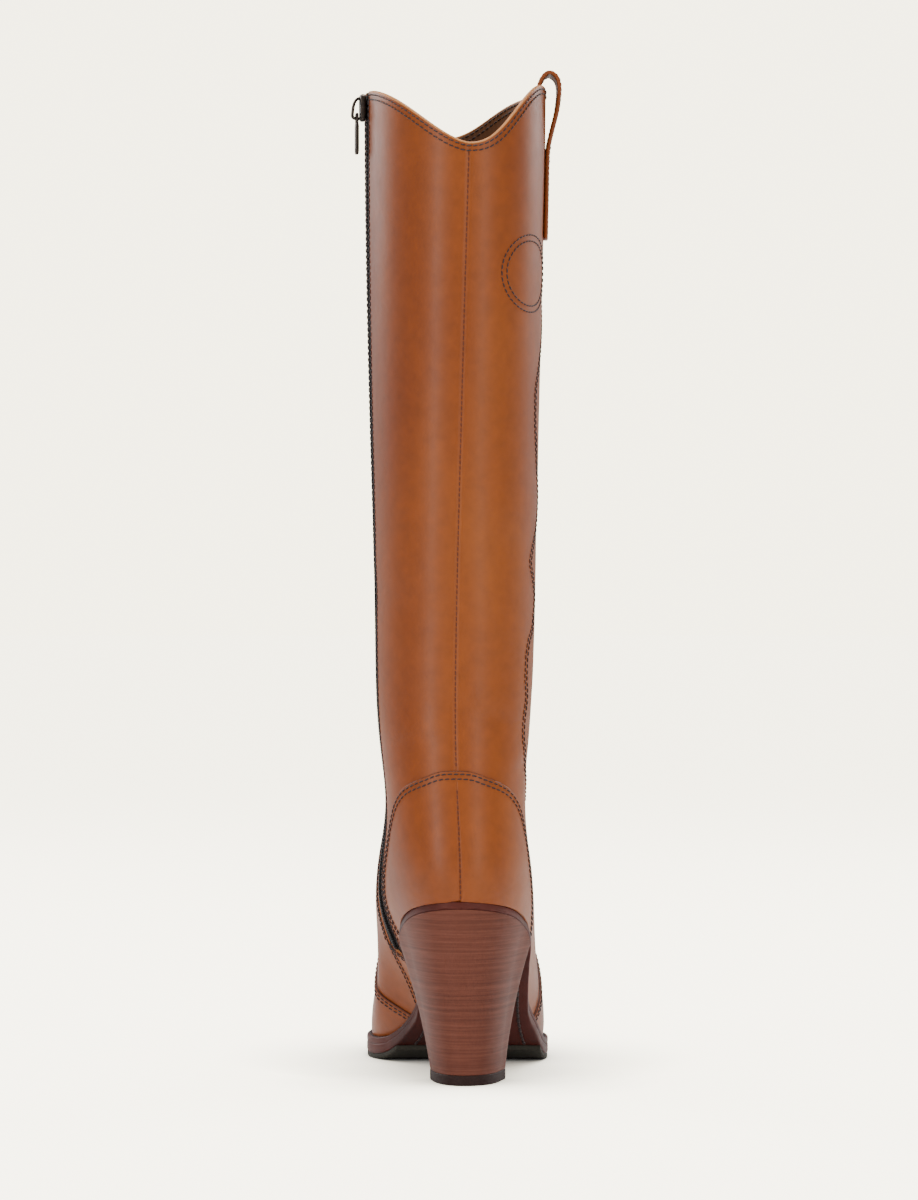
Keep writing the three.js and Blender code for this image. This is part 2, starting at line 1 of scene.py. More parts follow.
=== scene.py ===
import math
import bmesh
import bpy
import numpy as np
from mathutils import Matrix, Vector


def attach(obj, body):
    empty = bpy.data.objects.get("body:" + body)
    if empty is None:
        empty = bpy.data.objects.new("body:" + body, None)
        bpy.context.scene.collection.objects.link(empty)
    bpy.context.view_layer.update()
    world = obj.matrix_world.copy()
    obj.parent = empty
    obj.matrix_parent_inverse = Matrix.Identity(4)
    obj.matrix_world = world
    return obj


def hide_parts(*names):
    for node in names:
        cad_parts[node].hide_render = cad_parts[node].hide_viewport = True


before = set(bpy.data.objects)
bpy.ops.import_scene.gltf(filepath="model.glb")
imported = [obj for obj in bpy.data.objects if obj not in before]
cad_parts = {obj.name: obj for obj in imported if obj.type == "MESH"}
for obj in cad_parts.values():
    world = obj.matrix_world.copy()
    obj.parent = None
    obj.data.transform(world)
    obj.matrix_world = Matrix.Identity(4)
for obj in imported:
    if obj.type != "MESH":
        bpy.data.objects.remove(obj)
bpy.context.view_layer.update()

standAt = np.array([1.29, -130.12, 0.0])  # where the last's own origin stands in the frame, mm
wall = 2.0
coarse = 1.0

# The last with the leather on, section by section from above the collar to below the toe, in mm
ringColumns = ["backY", "backZ", "frontY", "frontZ", "wide", "inner", "outer", "centre",
               "roundFront", "roundBack", "tuck", "turn", "zip"]
rings = np.array([
    [5.5, 520, 147.5, 520, 0.5, 44.6, 44.4, -2.0, 2.15, 2.15, 0, 6.3, 274],
    [6, 470, 147, 470, 0.5, 44.5, 44.2, -2.0, 2.15, 2.15, 0, 6.0, 274],
    [6.5, 420, 145, 420, 0.5, 43.9, 43.6, -2.1, 2.15, 2.15, 0, 5.0, 274],
    [8, 370, 141, 370, 0.5, 42.9, 42.6, -2.2, 2.15, 2.15, 0, 4.0, 274],
    [10.5, 320, 134, 320, 0.5, 41.7, 41.4, -2.1, 2.15, 2.15, 0, 3.0, 274],
    [13, 275, 126, 275, 0.5, 40.4, 40.3, -1.9, 2.15, 2.15, 0, 1.8, 274],
    [15, 235, 117.5, 235, 0.5, 39.4, 39.4, -1.8, 2.1, 2.15, 0, 0.8, 274],
    [16, 203, 111.5, 203, 0.5, 38.9, 38.8, -2.0, 2.1, 2.15, 0, 0.4, 274],
    [16, 175, 109.5, 181, 0.5, 37.8, 37.8, -2.4, 2.05, 2.15, 0, 0.6, 273],
    [11.5, 149, 112.5, 168, 0.5, 35.6, 36.0, -2.4, 2.0, 2.15, 0, 1.2, 271],
    [3, 125, 117, 159, 0.5, 33.8, 34.4, -2.0, 1.95, 2.2, 0, 1.8, 270],
    [-1, 103, 122, 152, 0.5, 33.9, 34.4, -1.8, 1.95, 2.25, 0, 2.1, 271],
    [3, 82, 127.5, 146, 0.5, 36.0, 35.8, -1.8, 1.95, 2.3, 0.2, 2.1, 272.5],
    [18, 62, 133.5, 139, 0.5, 38.6, 38.0, -1.9, 1.9, 2.3, 0.7, 2.0, 276],
    [40, 42, 140.5, 130.5, 0.5, 39.8, 39.4, -2.1, 1.9, 2.15, 2.2, 1.6, 283],
    [68, 22, 149, 120, 0.5, 39.0, 40.0, -2.1, 1.9, 2.0, 3.6, 1.0, 288],
    [98, 4, 159.5, 107.5, 0.43, 39.2, 40.6, -1.6, 1.95, 2.0, 3.8, 0.4, 296],
    [127, -6, 172, 93, 0.31, 41.2, 42.6, -0.8, 1.95, 2.2, 1.8, 0, 300],
    [154, -8, 187, 77, 0.28, 43.6, 43.4, -0.4, 2.0, 2.4, 0.2, 0, 318],
    [180, -8, 204, 61.5, 0.32, 43.0, 41.0, -1.0, 2.0, 2.4, 0, 0, 318],
    [203, -8, 221, 49.5, 0.38, 37.6, 35.4, -2.4, 2.0, 2.3, 0, 0, 318],
    [222, -9, 237, 41, 0.46, 29.4, 27.4, -3.6, 1.95, 2.2, 0, 0, 318],
    [226, -14, 250, 32, 0.5, 23.5, 21.5, -4.6, 1.9, 2.1, 0, 0, 318],
    [218, -17, 259, 20.5, 0.5, 21.5, 19.5, -5.0, 1.85, 2.0, 0, 0, 318],
    [208, -18, 263.5, 7, 0.5, 21.5, 19.5, -5.0, 1.85, 2.0, 0, 0, 318],
    [200, -20, 264.5, -7, 0.5, 21.5, 19.5, -5.0, 1.85, 2.0, 0, 0, 318],
])
featherLine = np.array([(-10, 92), (4, 88.8), (25, 83.8), (45, 77.2), (60, 69), (85, 48.8), (108, 30),
                        (128, 17.4), (142, 12.2), (152, 11.1), (190, 11.1), (212, 12.5), (240, 17),
                        (270, 24.5)])
collar = {"outerPeak": 486, "innerPeak": 484.6, "backDip": 454.5, "frontDip": 469}
sole = {"gap": 0.3, "welt": 3.2, "leather": 4.6, "seat": 3.4, "rubber": 2.4, "reach": 3.9, "breast": 58.0,
        "halfFrom": 128.0, "lift": 5.0}
zipEndT = 14.75
tau = 2 * math.pi


def smoothTable(table):  # monotone cubic through (x, value) rows: flat stretches stay flat
    x, v = table[:, 0], table[:, 1]
    slope = np.diff(v) / np.diff(x)
    tangent = np.concatenate([[slope[0]], np.zeros(len(x) - 2), [slope[-1]]])
    for k in range(1, len(x) - 1):
        if slope[k - 1] * slope[k] > 0:
            tangent[k] = 2 * slope[k - 1] * slope[k] / (slope[k - 1] + slope[k])

    def at(where):
        where = np.clip(where, x[0], x[-1])
        i = np.clip(np.searchsorted(x, where) - 1, 0, len(x) - 2)
        step = x[i + 1] - x[i]
        s = (where - x[i]) / step
        return (v[i] * (1 + 2 * s) * (1 - s) ** 2 + v[i + 1] * s * s * (3 - 2 * s)
                + step * s * (1 - s) * (tangent[i] * (1 - s) - tangent[i + 1] * s))
    return at


feather = smoothTable(featherLine)


def lerp(a, b, s):
    return a + (b - a) * s


def ease(x, low, high):
    s = np.clip((x - low) / (high - low), 0, 1)
    return s * s * (3 - 2 * s)


def ringAt(t):  # uniform cubic B-spline through the section table
    i = np.floor(t).astype(int)
    s = (t - i)[..., None]
    weights = ((1 - s) ** 3, 3 * s ** 3 - 6 * s * s + 4, -3 * s ** 3 + 3 * s * s + 3 * s + 1, s ** 3)
    rows = [np.clip(i - 1 + k, 0, len(rings) - 1) for k in range(4)]
    mixed = sum(w * rings[r] for w, r in zip(weights, rows)) / 6
    return {name: mixed[..., c] for c, name in enumerate(ringColumns)}


def face(t, angle):  # outer face of the upper: angle 0 back, pi/2 outer side, pi front, 3pi/2 zip side
    t, angle = np.broadcast_arrays(np.asarray(t, float), np.asarray(angle, float))
    ring = ringAt(t)
    length = np.hypot(ring["frontY"] - ring["backY"], ring["frontZ"] - ring["backZ"])
    dirY = (ring["frontY"] - ring["backY"]) / length
    dirZ = (ring["frontZ"] - ring["backZ"]) / length
    u, s = -np.cos(angle), np.sin(angle)
    power = 2 / np.where(u > 0, ring["roundFront"], ring["roundBack"])
    reach = length * np.where(u > 0, 1 - ring["wide"], ring["wide"])
    lengthwise = np.sign(u) * np.abs(u) ** power * reach
    tuck = np.where((u < 0) & (s < 0), 1 / (1 + ring["tuck"] * u * u), 1)
    across = np.sign(s) * np.abs(s) ** power * np.where(s > 0, ring["outer"], ring["inner"]) * tuck
    turn = np.radians(ring["turn"])
    sideways = across * np.cos(turn) - lengthwise * np.sin(turn)
    forward = ring["wide"] * length + across * np.sin(turn) + lengthwise * np.cos(turn)
    return np.stack([ring["centre"] + sideways, ring["backY"] + forward * dirY,
                     ring["backZ"] + forward * dirZ], -1)


def outward(t, angle):
    h = 0.02
    down = face(t + h, angle) - face(t - h, angle)
    roundabout = face(t, angle + h) - face(t, angle - h)
    normal = np.cross(down, roundabout)
    return normal / np.linalg.norm(normal, axis=-1, keepdims=True)


def skin(t, angle, offset=0.0):
    t, angle = np.broadcast_arrays(np.asarray(t, float), np.asarray(angle, float))
    return face(t, angle) + outward(t, angle) * np.asarray(offset)[..., None]


def bisect(low, high, test, steps=32):
    low, high = np.array(low, float), np.array(high, float)
    for _ in range(steps):
        middle = (low + high) / 2
        past = test(middle)
        high = np.where(past, middle, high)
        low = np.where(past, low, middle)
    return (low + high) / 2


tSamples = np.linspace(0, 8, 400)
zSamples = ringAt(tSamples)["backZ"]


def shaftT(z):
    return np.interp(-np.asarray(z, float), -zSamples, tSamples)


def levelT(z, angle, low=0.0, high=14.0):  # the section that passes a height at each angle
    z, angle = np.broadcast_arrays(np.asarray(z, float), np.asarray(angle, float))
    return bisect(np.full(z.shape, low), np.full(z.shape, high), lambda t: face(t, angle)[..., 2] < z)


def overFeather(points, lift=0.05):
    return points[..., 2] - feather(points[..., 1]) - lift


def seatT(offset):
    return float(bisect(9, 14, lambda t: overFeather(skin(t, 0.0, offset)) < 0))


def toeT(offset):
    return float(bisect(19, 24.5, lambda t: overFeather(skin(t, math.pi, offset)) < 0))


rangeTables = {}  # where the feather line cuts each section, kept for each offset


def rangeTable(offset):
    if offset not in rangeTables:
        seat, toe = seatT(offset), toeT(offset)
        s = np.linspace(0, 1, 400)
        t = np.concatenate([lerp(seat, 14, s ** 2), lerp(14, toe, 1 - (1 - s[1:]) ** 2)])
        none, half, whole = np.zeros_like(t), np.full_like(t, math.pi), np.full_like(t, tau)
        low = bisect(none, half, lambda a: overFeather(skin(t, a, offset)) > 0)
        high = bisect(half, whole, lambda a: overFeather(skin(t, a, offset)) < 0)
        low[0], high[0] = 0.0, tau
        rangeTables[offset] = t, low, high
    return rangeTables[offset]


def footRange(t, offset=0.0):
    table, low, high = rangeTable(float(offset))
    return np.interp(t, table, low), np.interp(t, table, high)


def speedAt(t, angle):  # mm along the section for each radian
    return np.linalg.norm(face(t, angle + 0.04) - face(t, angle - 0.04), axis=-1) / 0.08


def collarZ(angle):
    dip = np.where(np.cos(angle) > 0, collar["backDip"], collar["frontDip"])
    side = np.abs(np.sin(angle))
    outer = lerp(dip, collar["outerPeak"], ease(side, 0, 0.92) ** 1.2)
    inner = lerp(dip, collar["innerPeak"], 0.3 * ease(side, 0, 1) + 0.7 * side ** 1.25)
    return np.where(np.sin(angle) > 0, outer, inner)


def slotAngles(t, half=4.5):
    t = np.asarray(t, float)
    above = np.minimum(t, zipEndT)
    middle = np.radians(ringAt(above)["zip"])
    reach = half / speedAt(above, middle)
    endHigh = footRange(above)[1]
    share = (footRange(t)[1] - math.pi) / (endHigh - math.pi)
    share = np.where(t > zipEndT, share, 1.0)
    return (math.pi + (middle - reach - math.pi) * share, math.pi + (middle + reach - math.pi) * share)


def makeObject(name, points, faces, materials, faceSlots=None, smooth=True, body="boot"):
    mesh = bpy.data.meshes.new(name)
    points = (np.asarray(points, float).reshape(-1, 3) + standAt) / 1000
    mesh.from_pydata(points.tolist(), [], [tuple(int(v) for v in f) for f in faces])
    for material in materials:
        mesh.materials.append(material)
    if faceSlots is not None:
        mesh.polygons.foreach_set("material_index", np.asarray(faceSlots, int))
    mesh.polygons.foreach_set("use_smooth", [smooth] * len(mesh.polygons))
    mesh.validate(clean_customdata=False)
    mesh.update()
    thing = bpy.data.objects.new(name, mesh)
    bpy.context.scene.collection.objects.link(thing)
    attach(thing, body)
    return thing


def weld(thing, distance=0.00002):
    work = bmesh.new()
    work.from_mesh(thing.data)
    bmesh.ops.remove_doubles(work, verts=work.verts, dist=distance)
    bmesh.ops.dissolve_degenerate(work, edges=work.edges, dist=distance / 4)
    bmesh.ops.recalc_face_normals(work, faces=work.faces)
    work.to_mesh(thing.data)
    work.free()
    thing.data.polygons.foreach_set("use_smooth", [True] * len(thing.data.polygons))
    return thing


def gridFaces(rows, columns, start=0, flip=False, kept=None):
    i, j = np.meshgrid(np.arange(rows - 1), np.arange(columns - 1), indexing="ij")
    if kept is not None:
        i, j = i[kept], j[kept]
    a = (start + i * columns + j).ravel()
    quads = np.stack([a, a + columns, a + columns + 1, a + 1], -1)
    return quads[:, ::-1] if flip else quads


def tightSteps(count, startFine=0.0, endFine=0.0):  # 0..1 in steps that close up towards either end
    s = np.linspace(0, 1, count + 1)
    weight = 1 / (1 + 9 * startFine * np.exp(-s / 0.05) + 9 * endFine * np.exp(-(1 - s) / 0.05))
    steps = np.concatenate([[0], np.cumsum((weight[1:] + weight[:-1]) / 2)])
    return steps / steps[-1]


class Heap:  # gathers many small closed shapes into one mesh
    def __init__(self):
        self.points, self.faces, self.count = [], [], 0

    def add(self, points, *faces):
        self.points.append(np.asarray(points).reshape(-1, 3))
        self.faces += [np.asarray(block) + self.count for block in faces]
        self.count += len(self.points[-1])

    def addTubes(self, rings):  # rings: (tubes, stations, around, 3), each tube closed at both ends
        tubes, stations, around = rings.shape[:3]
        first = np.arange(tubes)[:, None, None] * stations * around
        i, j = np.meshgrid(np.arange(stations - 1), np.arange(around), indexing="ij")
        a, b = i * around + j, i * around + (j + 1) % around
        walls = (first + np.stack([a, a + around, b + around, b], -1).reshape(1, -1, 4)).reshape(-1, 4)
        ends = np.stack([np.arange(around), (stations - 1) * around + np.arange(around)[::-1]])
        self.add(rings, walls, (first + ends[None]).reshape(-1, around))

    def build(self, name, material, body="boot"):
        faces = [tuple(f) for block in self.faces for f in block.tolist()]
        return makeObject(name, np.concatenate(self.points), faces, [material], body=body)

# Finishes
def newFinish(name):
    finish = bpy.data.materials.new(name)
    finish.use_nodes = True
    nodes, links = finish.node_tree.nodes, finish.node_tree.links
    return finish, nodes, links, nodes["Principled BSDF"]


def noiseAt(nodes, links, vector, scale, detail=4.0, rough=0.55, stretch=(1, 1, 1)):
    mapping = nodes.new("ShaderNodeMapping")
    mapping.inputs["Scale"].default_value = stretch
    links.new(vector, mapping.inputs["Vector"])
    noise = nodes.new("ShaderNodeTexNoise")
    noise.inputs["Scale"].default_value = scale
    noise.inputs["Detail"].default_value = detail
    noise.inputs["Roughness"].default_value = rough
    links.new(mapping.outputs["Vector"], noise.inputs["Vector"])
    return noise.outputs["Fac"]


def rampOf(nodes, links, value, stops):
    ramp = nodes.new("ShaderNodeValToRGB")
    for element, (place, colour) in zip(ramp.color_ramp.elements, (stops[0], stops[-1])):
        element.position, element.color = place, (*colour, 1)
    for place, colour in stops[1:-1]:
        ramp.color_ramp.elements.new(place).color = (*colour, 1)
    links.new(value, ramp.inputs["Fac"])
    return ramp.outputs["Color"]


def mixColour(nodes, links, fac, a, b, mode="MIX"):
    mix = nodes.new("ShaderNodeMix")
    mix.data_type, mix.blend_type = "RGBA", mode
    for socket, value in ((mix.inputs[0], fac), (mix.inputs[6], a), (mix.inputs[7], b)):
        if isinstance(value, bpy.types.NodeSocket):
            links.new(value, socket)
        else:
            socket.default_value = value
    return mix.outputs[2]


def addBump(nodes, links, shader, heights):  # heights: (socket, strength, distance in metres)
    before = None
    for socket, strength, distance in heights:
        bump = nodes.new("ShaderNodeBump")
        bump.inputs["Strength"].default_value = strength
        bump.inputs["Distance"].default_value = distance
        links.new(socket, bump.inputs["Height"])
        if before is not None:
            links.new(before, bump.inputs["Normal"])
        before = bump.outputs["Normal"]
    links.new(before, shader.inputs["Normal"])


def hexColour(text):
    parts = [int(text[i:i + 2], 16) / 255 for i in (0, 2, 4)]
    return tuple(p / 12.92 if p <= 0.04045 else ((p + 0.055) / 1.055) ** 2.4 for p in parts)


calf = {"deep": "703006", "main": "864009", "light": "964e10", "rough": 0.42, "grain": 1500, "patch": 9,
        "shine": 0.3, "worn": "3c1606"}


def leatherFinish(name, look):
    finish, nodes, links, shader = newFinish(name)
    place = nodes.new("ShaderNodeTexCoord").outputs["Object"]
    patches = noiseAt(nodes, links, place, look["patch"], 3, 0.5, (1, 1, 0.35))
    tone = rampOf(nodes, links, patches, [(0.3, hexColour(look["deep"])), (0.52, hexColour(look["main"])),
                                          (0.75, hexColour(look["light"]))])
    mottle = noiseAt(nodes, links, place, 140, 6, 0.6)
    speck = rampOf(nodes, links, mottle, [(0.3, (0.86, 0.86, 0.86)), (0.7, (1.06, 1.05, 1.04))])
    tone = mixColour(nodes, links, 1.0, tone, speck, "MULTIPLY")
    edge = nodes.new("ShaderNodeAttribute")  # cut edges are burnished darker
    edge.attribute_name = "edge"
    worn = (*hexColour(look.get("worn", look["deep"])), 1)
    links.new(mixColour(nodes, links, edge.outputs["Fac"], tone, worn), shader.inputs["Base Color"])
    gloss = nodes.new("ShaderNodeMapRange")
    gloss.inputs["To Min"].default_value = look["rough"] - 0.05
    gloss.inputs["To Max"].default_value = look["rough"] + 0.07
    links.new(noiseAt(nodes, links, place, 60, 5, 0.6), gloss.inputs["Value"])
    links.new(gloss.outputs["Result"], shader.inputs["Roughness"])
    grain = nodes.new("ShaderNodeTexVoronoi")
    grain.feature = "DISTANCE_TO_EDGE"
    grain.inputs["Scale"].default_value = look["grain"]
    links.new(place, grain.inputs["Vector"])
    soft = noiseAt(nodes, links, place, 45, 3, 0.5)
    addBump(nodes, links, shader, [(grain.outputs["Distance"], 0.12, 0.0002), (soft, 0.25, 0.0006)])
    shader.inputs["Specular IOR Level"].default_value = look.get("shine", 0.34)
    shader.inputs["Coat Weight"].default_value = look.get("coat", 0.04)
    shader.inputs["Coat Roughness"].default_value = 0.25
    return finish


upperLeather = leatherFinish("polished tan calf", calf)
edgeLeather = leatherFinish("folded calf edge", {
    **calf, "deep": "9a5c28", "main": "b8763c", "light": "c6864c", "rough": 0.5})
liningLeather = leatherFinish("brown lining", {
    "deep": "4f2c12", "main": "6a3f1c", "light": "784a24", "rough": 0.62, "grain": 900, "patch": 14,
    "coat": 0.0})
soleLeather = leatherFinish("burnished sole leather", {
    "deep": "34130f", "main": "481c16", "light": "54251d", "rough": 0.46, "grain": 1100, "patch": 25,
    "coat": 0.0, "shine": 0.16})


def threadFinish(name, colour):
    finish, nodes, links, shader = newFinish(name)
    place = nodes.new("ShaderNodeTexCoord").outputs["Object"]
    twist = noiseAt(nodes, links, place, 2600, 3, 0.6, (1, 1, 1))
    dark = tuple(c * 0.7 for c in hexColour(colour))
    tone = rampOf(nodes, links, twist, [(0.35, dark), (0.65, hexColour(colour))])
    links.new(tone, shader.inputs["Base Color"])
    shader.inputs["Roughness"].default_value = 0.6
    addBump(nodes, links, shader, [(twist, 0.4, 0.0001)])
    return finish


darkThread = threadFinish("dark waxed thread", "2a1412")
rustThread = threadFinish("rust seam thread", "5e2408")


def stackFinish():
    finish, nodes, links, shader = newFinish("stacked leather lifts")
    place = nodes.new("ShaderNodeTexCoord").outputs["Object"]
    split = nodes.new("ShaderNodeSeparateXYZ")
    links.new(place, split.inputs["Vector"])
    lines = noiseAt(nodes, links, place, 60, 5, 0.65, (0.1, 0.1, 14))
    fibre = noiseAt(nodes, links, place, 260, 5, 0.65, (0.3, 0.3, 6))
    base = rampOf(nodes, links, lines, [(0.3, hexColour("573026")), (0.5, hexColour("64382c")),
                                        (0.7, hexColour("704235"))])
    streak = rampOf(nodes, links, fibre, [(0.35, (0.86, 0.84, 0.83)), (0.65, (1.05, 1.04, 1.03))])
    links.new(mixColour(nodes, links, 1.0, base, streak, "MULTIPLY"), shader.inputs["Base Color"])
    shader.inputs["Roughness"].default_value = 0.5
    shader.inputs["Specular IOR Level"].default_value = 0.12
    addBump(nodes, links, shader, [(lines, 0.18, 0.0003), (fibre, 0.12, 0.0002)])
    return finish


heelStack = stackFinish()


def rubberFinish(name, colour, rough, shine=0.3):
    finish, nodes, links, shader = newFinish(name)
    place = nodes.new("ShaderNodeTexCoord").outputs["Object"]
    speck = noiseAt(nodes, links, place, 900, 4, 0.6)
    tone = hexColour(colour)
    links.new(rampOf(nodes, links, speck, [(0.35, tuple(c * 0.75 for c in tone)), (0.65, tone)]),
              shader.inputs["Base Color"])
    shader.inputs["Roughness"].default_value = rough
    shader.inputs["Specular IOR Level"].default_value = shine
    addBump(nodes, links, shader, [(speck, 0.3, 0.0002)])
    return finish


soleRubber = rubberFinish("forepart rubber", "35322b", 0.75, 0.2)
liftRubber = rubberFinish("lift rubber", "2c1815", 0.6, 0.2)
zipCloth = rubberFinish("zip tape cloth", "0e0b0b", 0.9, 0.1)
zipCoil = rubberFinish("zip coil", "151010", 0.45, 0.2)


def metalFinish():
    finish, nodes, links, shader = newFinish("dark gunmetal")
    place = nodes.new("ShaderNodeTexCoord").outputs["Object"]
    wear = noiseAt(nodes, links, place, 500, 4, 0.6)
    links.new(rampOf(nodes, links, wear, [(0.3, hexColour("2a2422")), (0.75, hexColour("4a4038"))]),
              shader.inputs["Base Color"])
    shader.inputs["Metallic"].default_value = 0.9
    shader.inputs["Roughness"].default_value = 0.33
    addBump(nodes, links, shader, [(wear, 0.1, 0.0001)])
    return finish


gunmetal = metalFinish()
print("finishes ready")

# Upper: one wall, outer leather over the folded collar edge and down the lining
upperShape = {"rows": 188, "footRows": 74, "outer": 78, "front": 58, "back": 34, "foldRadius": 1.0,
              "seamDip": 0.35, "seamHalf": 0.9, "slotDip": 0.55, "slotHalf": 1.1}
creases = [  # (height, angle in degrees, rise towards the front, long, wide, deep) in mm
    (176, 30, -6, 34, 6, 0.45), (163, -34, 4, 30, 6, 0.4), (196, 150, 8, 40, 8, 0.7),
    (184, 200, -6, 44, 8, 0.8), (215, 165, 5, 46, 10, 0.5), (232, -50, -8, 40, 10, 0.35),
    (262, 48, 8, 44, 12, 0.35), (150, 60, 5, 26, 6, 0.4),
]


def creaseDepth(points, angle):
    depth = np.zeros(points.shape[:-1])
    for high, degrees, rise, long, wide, deep in creases:
        away = (np.degrees(angle) - degrees + 180) % 360 - 180
        side = away * 0.95  # about 0.95 mm of leather for each degree
        level = points[..., 2] - high - rise * side / long
        trough = np.exp(-(level / wide) ** 2) - 0.5 * np.exp(-((level - 1.7 * wide) / wide) ** 2)
        depth += deep * trough * np.exp(-(side / long) ** 2)
    return depth


def upperColumns(shape):
    edge = [tightSteps(int(shape["outer"] * coarse), 1, 0), tightSteps(int(shape["front"] * coarse), 0, 1),
            np.linspace(0, 1, 3), tightSteps(int(shape["back"] * coarse), 1, 1)]
    return edge


def rowAngles(t, offset, edges):
    low, high = footRange(t, offset)
    slotLow, slotHigh = slotAngles(t)
    stops = [low, np.full_like(low, math.pi), slotLow, slotHigh, high]
    blocks = [lerp(stops[k][:, None], stops[k + 1][:, None], edges[k][None, :-1]) for k in range(4)]
    return np.concatenate(blocks + [high[:, None]], 1)


def upperRows(offset, shape):
    seat, toe = seatT(offset), toeT(offset)
    shaft = lerp(shaftT(475.0), seat, np.linspace(0, 1, int(shape["rows"] * coarse)))
    arch = lerp(seat, zipEndT, np.linspace(0, 1, 22)[1:] ** 1.6)
    foot = lerp(zipEndT, toe, 1 - (1 - np.linspace(0, 1, int(shape["footRows"] * coarse))[1:]) ** 1.5)
    return np.concatenate([shaft, arch, foot]), len(shaft), len(shaft) + len(arch)


def collarShift(t, angle, drop=0.0):
    share = np.clip(1 - (t - shaftT(475.0)) / (seatT(0.0) - shaftT(475.0)), 0, 1)[:, None] ** 2
    return t[:, None] + share * (shaftT(collarZ(angle) - drop) - shaftT(475.0))


def upperSheet(offset, shape, detail):
    t, shaftCount, slotCount = upperRows(offset, shape)
    edges = upperColumns(shape)
    angle = rowAngles(t, offset, edges)
    tt = collarShift(t, angle, shape["foldRadius"])
    base = np.full(tt.shape, float(offset))
    if detail:
        bare = face(tt, angle)
        toSeam = np.minimum(np.linalg.norm(bare - bare[:, :1], axis=-1),
                            np.linalg.norm(bare - bare[:, -1:], axis=-1))
        seam = np.exp(-(toSeam / shape["seamHalf"]) ** 2) * (np.arange(len(t)) < shaftCount)[:, None]
        slotAt = len(edges[0]) + len(edges[1]) - 2
        toSlot = np.minimum(np.linalg.norm(bare - bare[:, slotAt:slotAt + 1], axis=-1),
                            np.linalg.norm(bare - bare[:, slotAt + 2:slotAt + 3], axis=-1))
        inSlot = (np.arange(len(t)) <= slotCount)[:, None]
        base = base - shape["seamDip"] * seam - creaseDepth(bare, angle)
        base = base - shape["slotDip"] * np.exp(-toSlot / shape["slotHalf"]) * inSlot
    points = skin(tt, angle, base)
    points[-1] = points[-1, len(edges[0]) - 1]
    return {"angle": angle, "points": points, "shaft": shaftCount, "slot": slotCount,
            "slotAt": len(edges[0]) + len(edges[1]) - 2}


def makeUpper(shape):
    outer, inner = upperSheet(0.0, shape, True), upperSheet(-wall, shape, False)
    rows, columns = outer["points"].shape[:2]
    folds = []
    for lean in np.linspace(0, math.pi, 7)[1:-1]:  # the collar edge folds over from the face to the lining
        radius = shape["foldRadius"]
        z = collarZ(outer["angle"][0]) - radius + radius * math.sin(lean)
        folds.append(skin(shaftT(z), outer["angle"][0], np.full(z.shape, radius * (math.cos(lean) - 1))))
    folds = np.array(folds[::-1])
    points = np.concatenate([inner["points"][::-1], folds, outer["points"]])
    count = len(inner["points"]) + len(folds)
    kept = np.ones((len(points) - 1, columns - 1), bool)
    slotCells = slice(outer["slotAt"], outer["slotAt"] + 2)
    kept[count:count + outer["slot"] - 1, slotCells] = False
    kept[rows - inner["slot"]:count, slotCells] = False
    faces = gridFaces(len(points), columns, kept=kept)
    rowOf = np.meshgrid(np.arange(len(points) - 1), np.arange(columns - 1), indexing="ij")[0][kept]
    slots = np.where(rowOf < rows - 1, 1, np.where(rowOf < count, 2, 0))
    faces, slots = list(map(tuple, faces)), list(slots)
    at = lambda sheetRow, column: (count + sheetRow) * columns + column
    under = lambda sheetRow, column: (rows - 1 - sheetRow) * columns + column
    # the leather's edges along the zip
    for column, side in ((outer["slotAt"], 1), (outer["slotAt"] + 2, -1)):
        for r in range(outer["slot"] - 1):
            quad = (at(r, column), under(r, column), under(r + 1, column), at(r + 1, column))
            faces.append(quad if side > 0 else quad[::-1])
            slots.append(2)
    for column in range(outer["slotAt"], outer["slotAt"] + 2):
        r = outer["slot"] - 1
        faces.append((at(r, column), at(r, column + 1), under(r, column + 1), under(r, column)))
        slots.append(2)
    for column in (0, columns - 1):  # the lasted edge down on the welt
        for r in range(outer["shaft"] - 1, rows - 1):
            faces.append((at(r, column), at(r + 1, column), under(r + 1, column), under(r, column)))
            slots.append(0)
    thing = makeObject("upper_leather", points, faces, [upperLeather, liningLeather, edgeLeather], slots)
    weld(thing)
    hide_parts("upper")
    return thing


makeUpper(upperShape)
print("upper ready")


# Laid on panels: each is a sheet over the upper, with a turned edge, between two lines of its own
panelEdge = {"steps": [0.0, 0.12, 0.3, 0.6, 1.0, 1.6], "radius": 0.6, "worn": 0.45}


def edgeProfile(distance, thick, radius):  # height of a panel a little way in from its cut edge
    s = np.clip(distance / radius, 0, 1)
    return thick * np.sqrt(np.clip(1 - (1 - s) ** 2, 0, 1))


def sheetPiece(name, grid, away, node=None, lower=-0.6):  # grid: t, angle and height of each point
    t, angle, offset = grid
    top = skin(t, angle, offset)
    base = skin(t, angle, np.minimum(offset - 0.05, lower))
    rows, columns = t.shape
    points = np.concatenate([top.reshape(-1, 3), base.reshape(-1, 3)])
    faces = list(map(tuple, gridFaces(rows, columns)))
    half = rows * columns
    for r in range(rows - 1):
        for c in (0, columns - 1):
            a, b = r * columns + c, (r + 1) * columns + c
            faces.append((a, b, half + b, half + a))
    for c in range(columns - 1):
        for r in (0, rows - 1):
            a, b = r * columns + c, r * columns + c + 1
            faces.append((a, b, half + b, half + a))
    thing = makeObject(name, points, faces, [upperLeather])
    worn = np.tile(np.exp(-(away.ravel() / panelEdge["worn"]) ** 2), 2)
    thing.data.attributes.new("edge", "FLOAT", "POINT").data.foreach_set("value", worn.astype(np.float32))
    weld(thing)
    if node:
        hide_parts(node)
    return thing


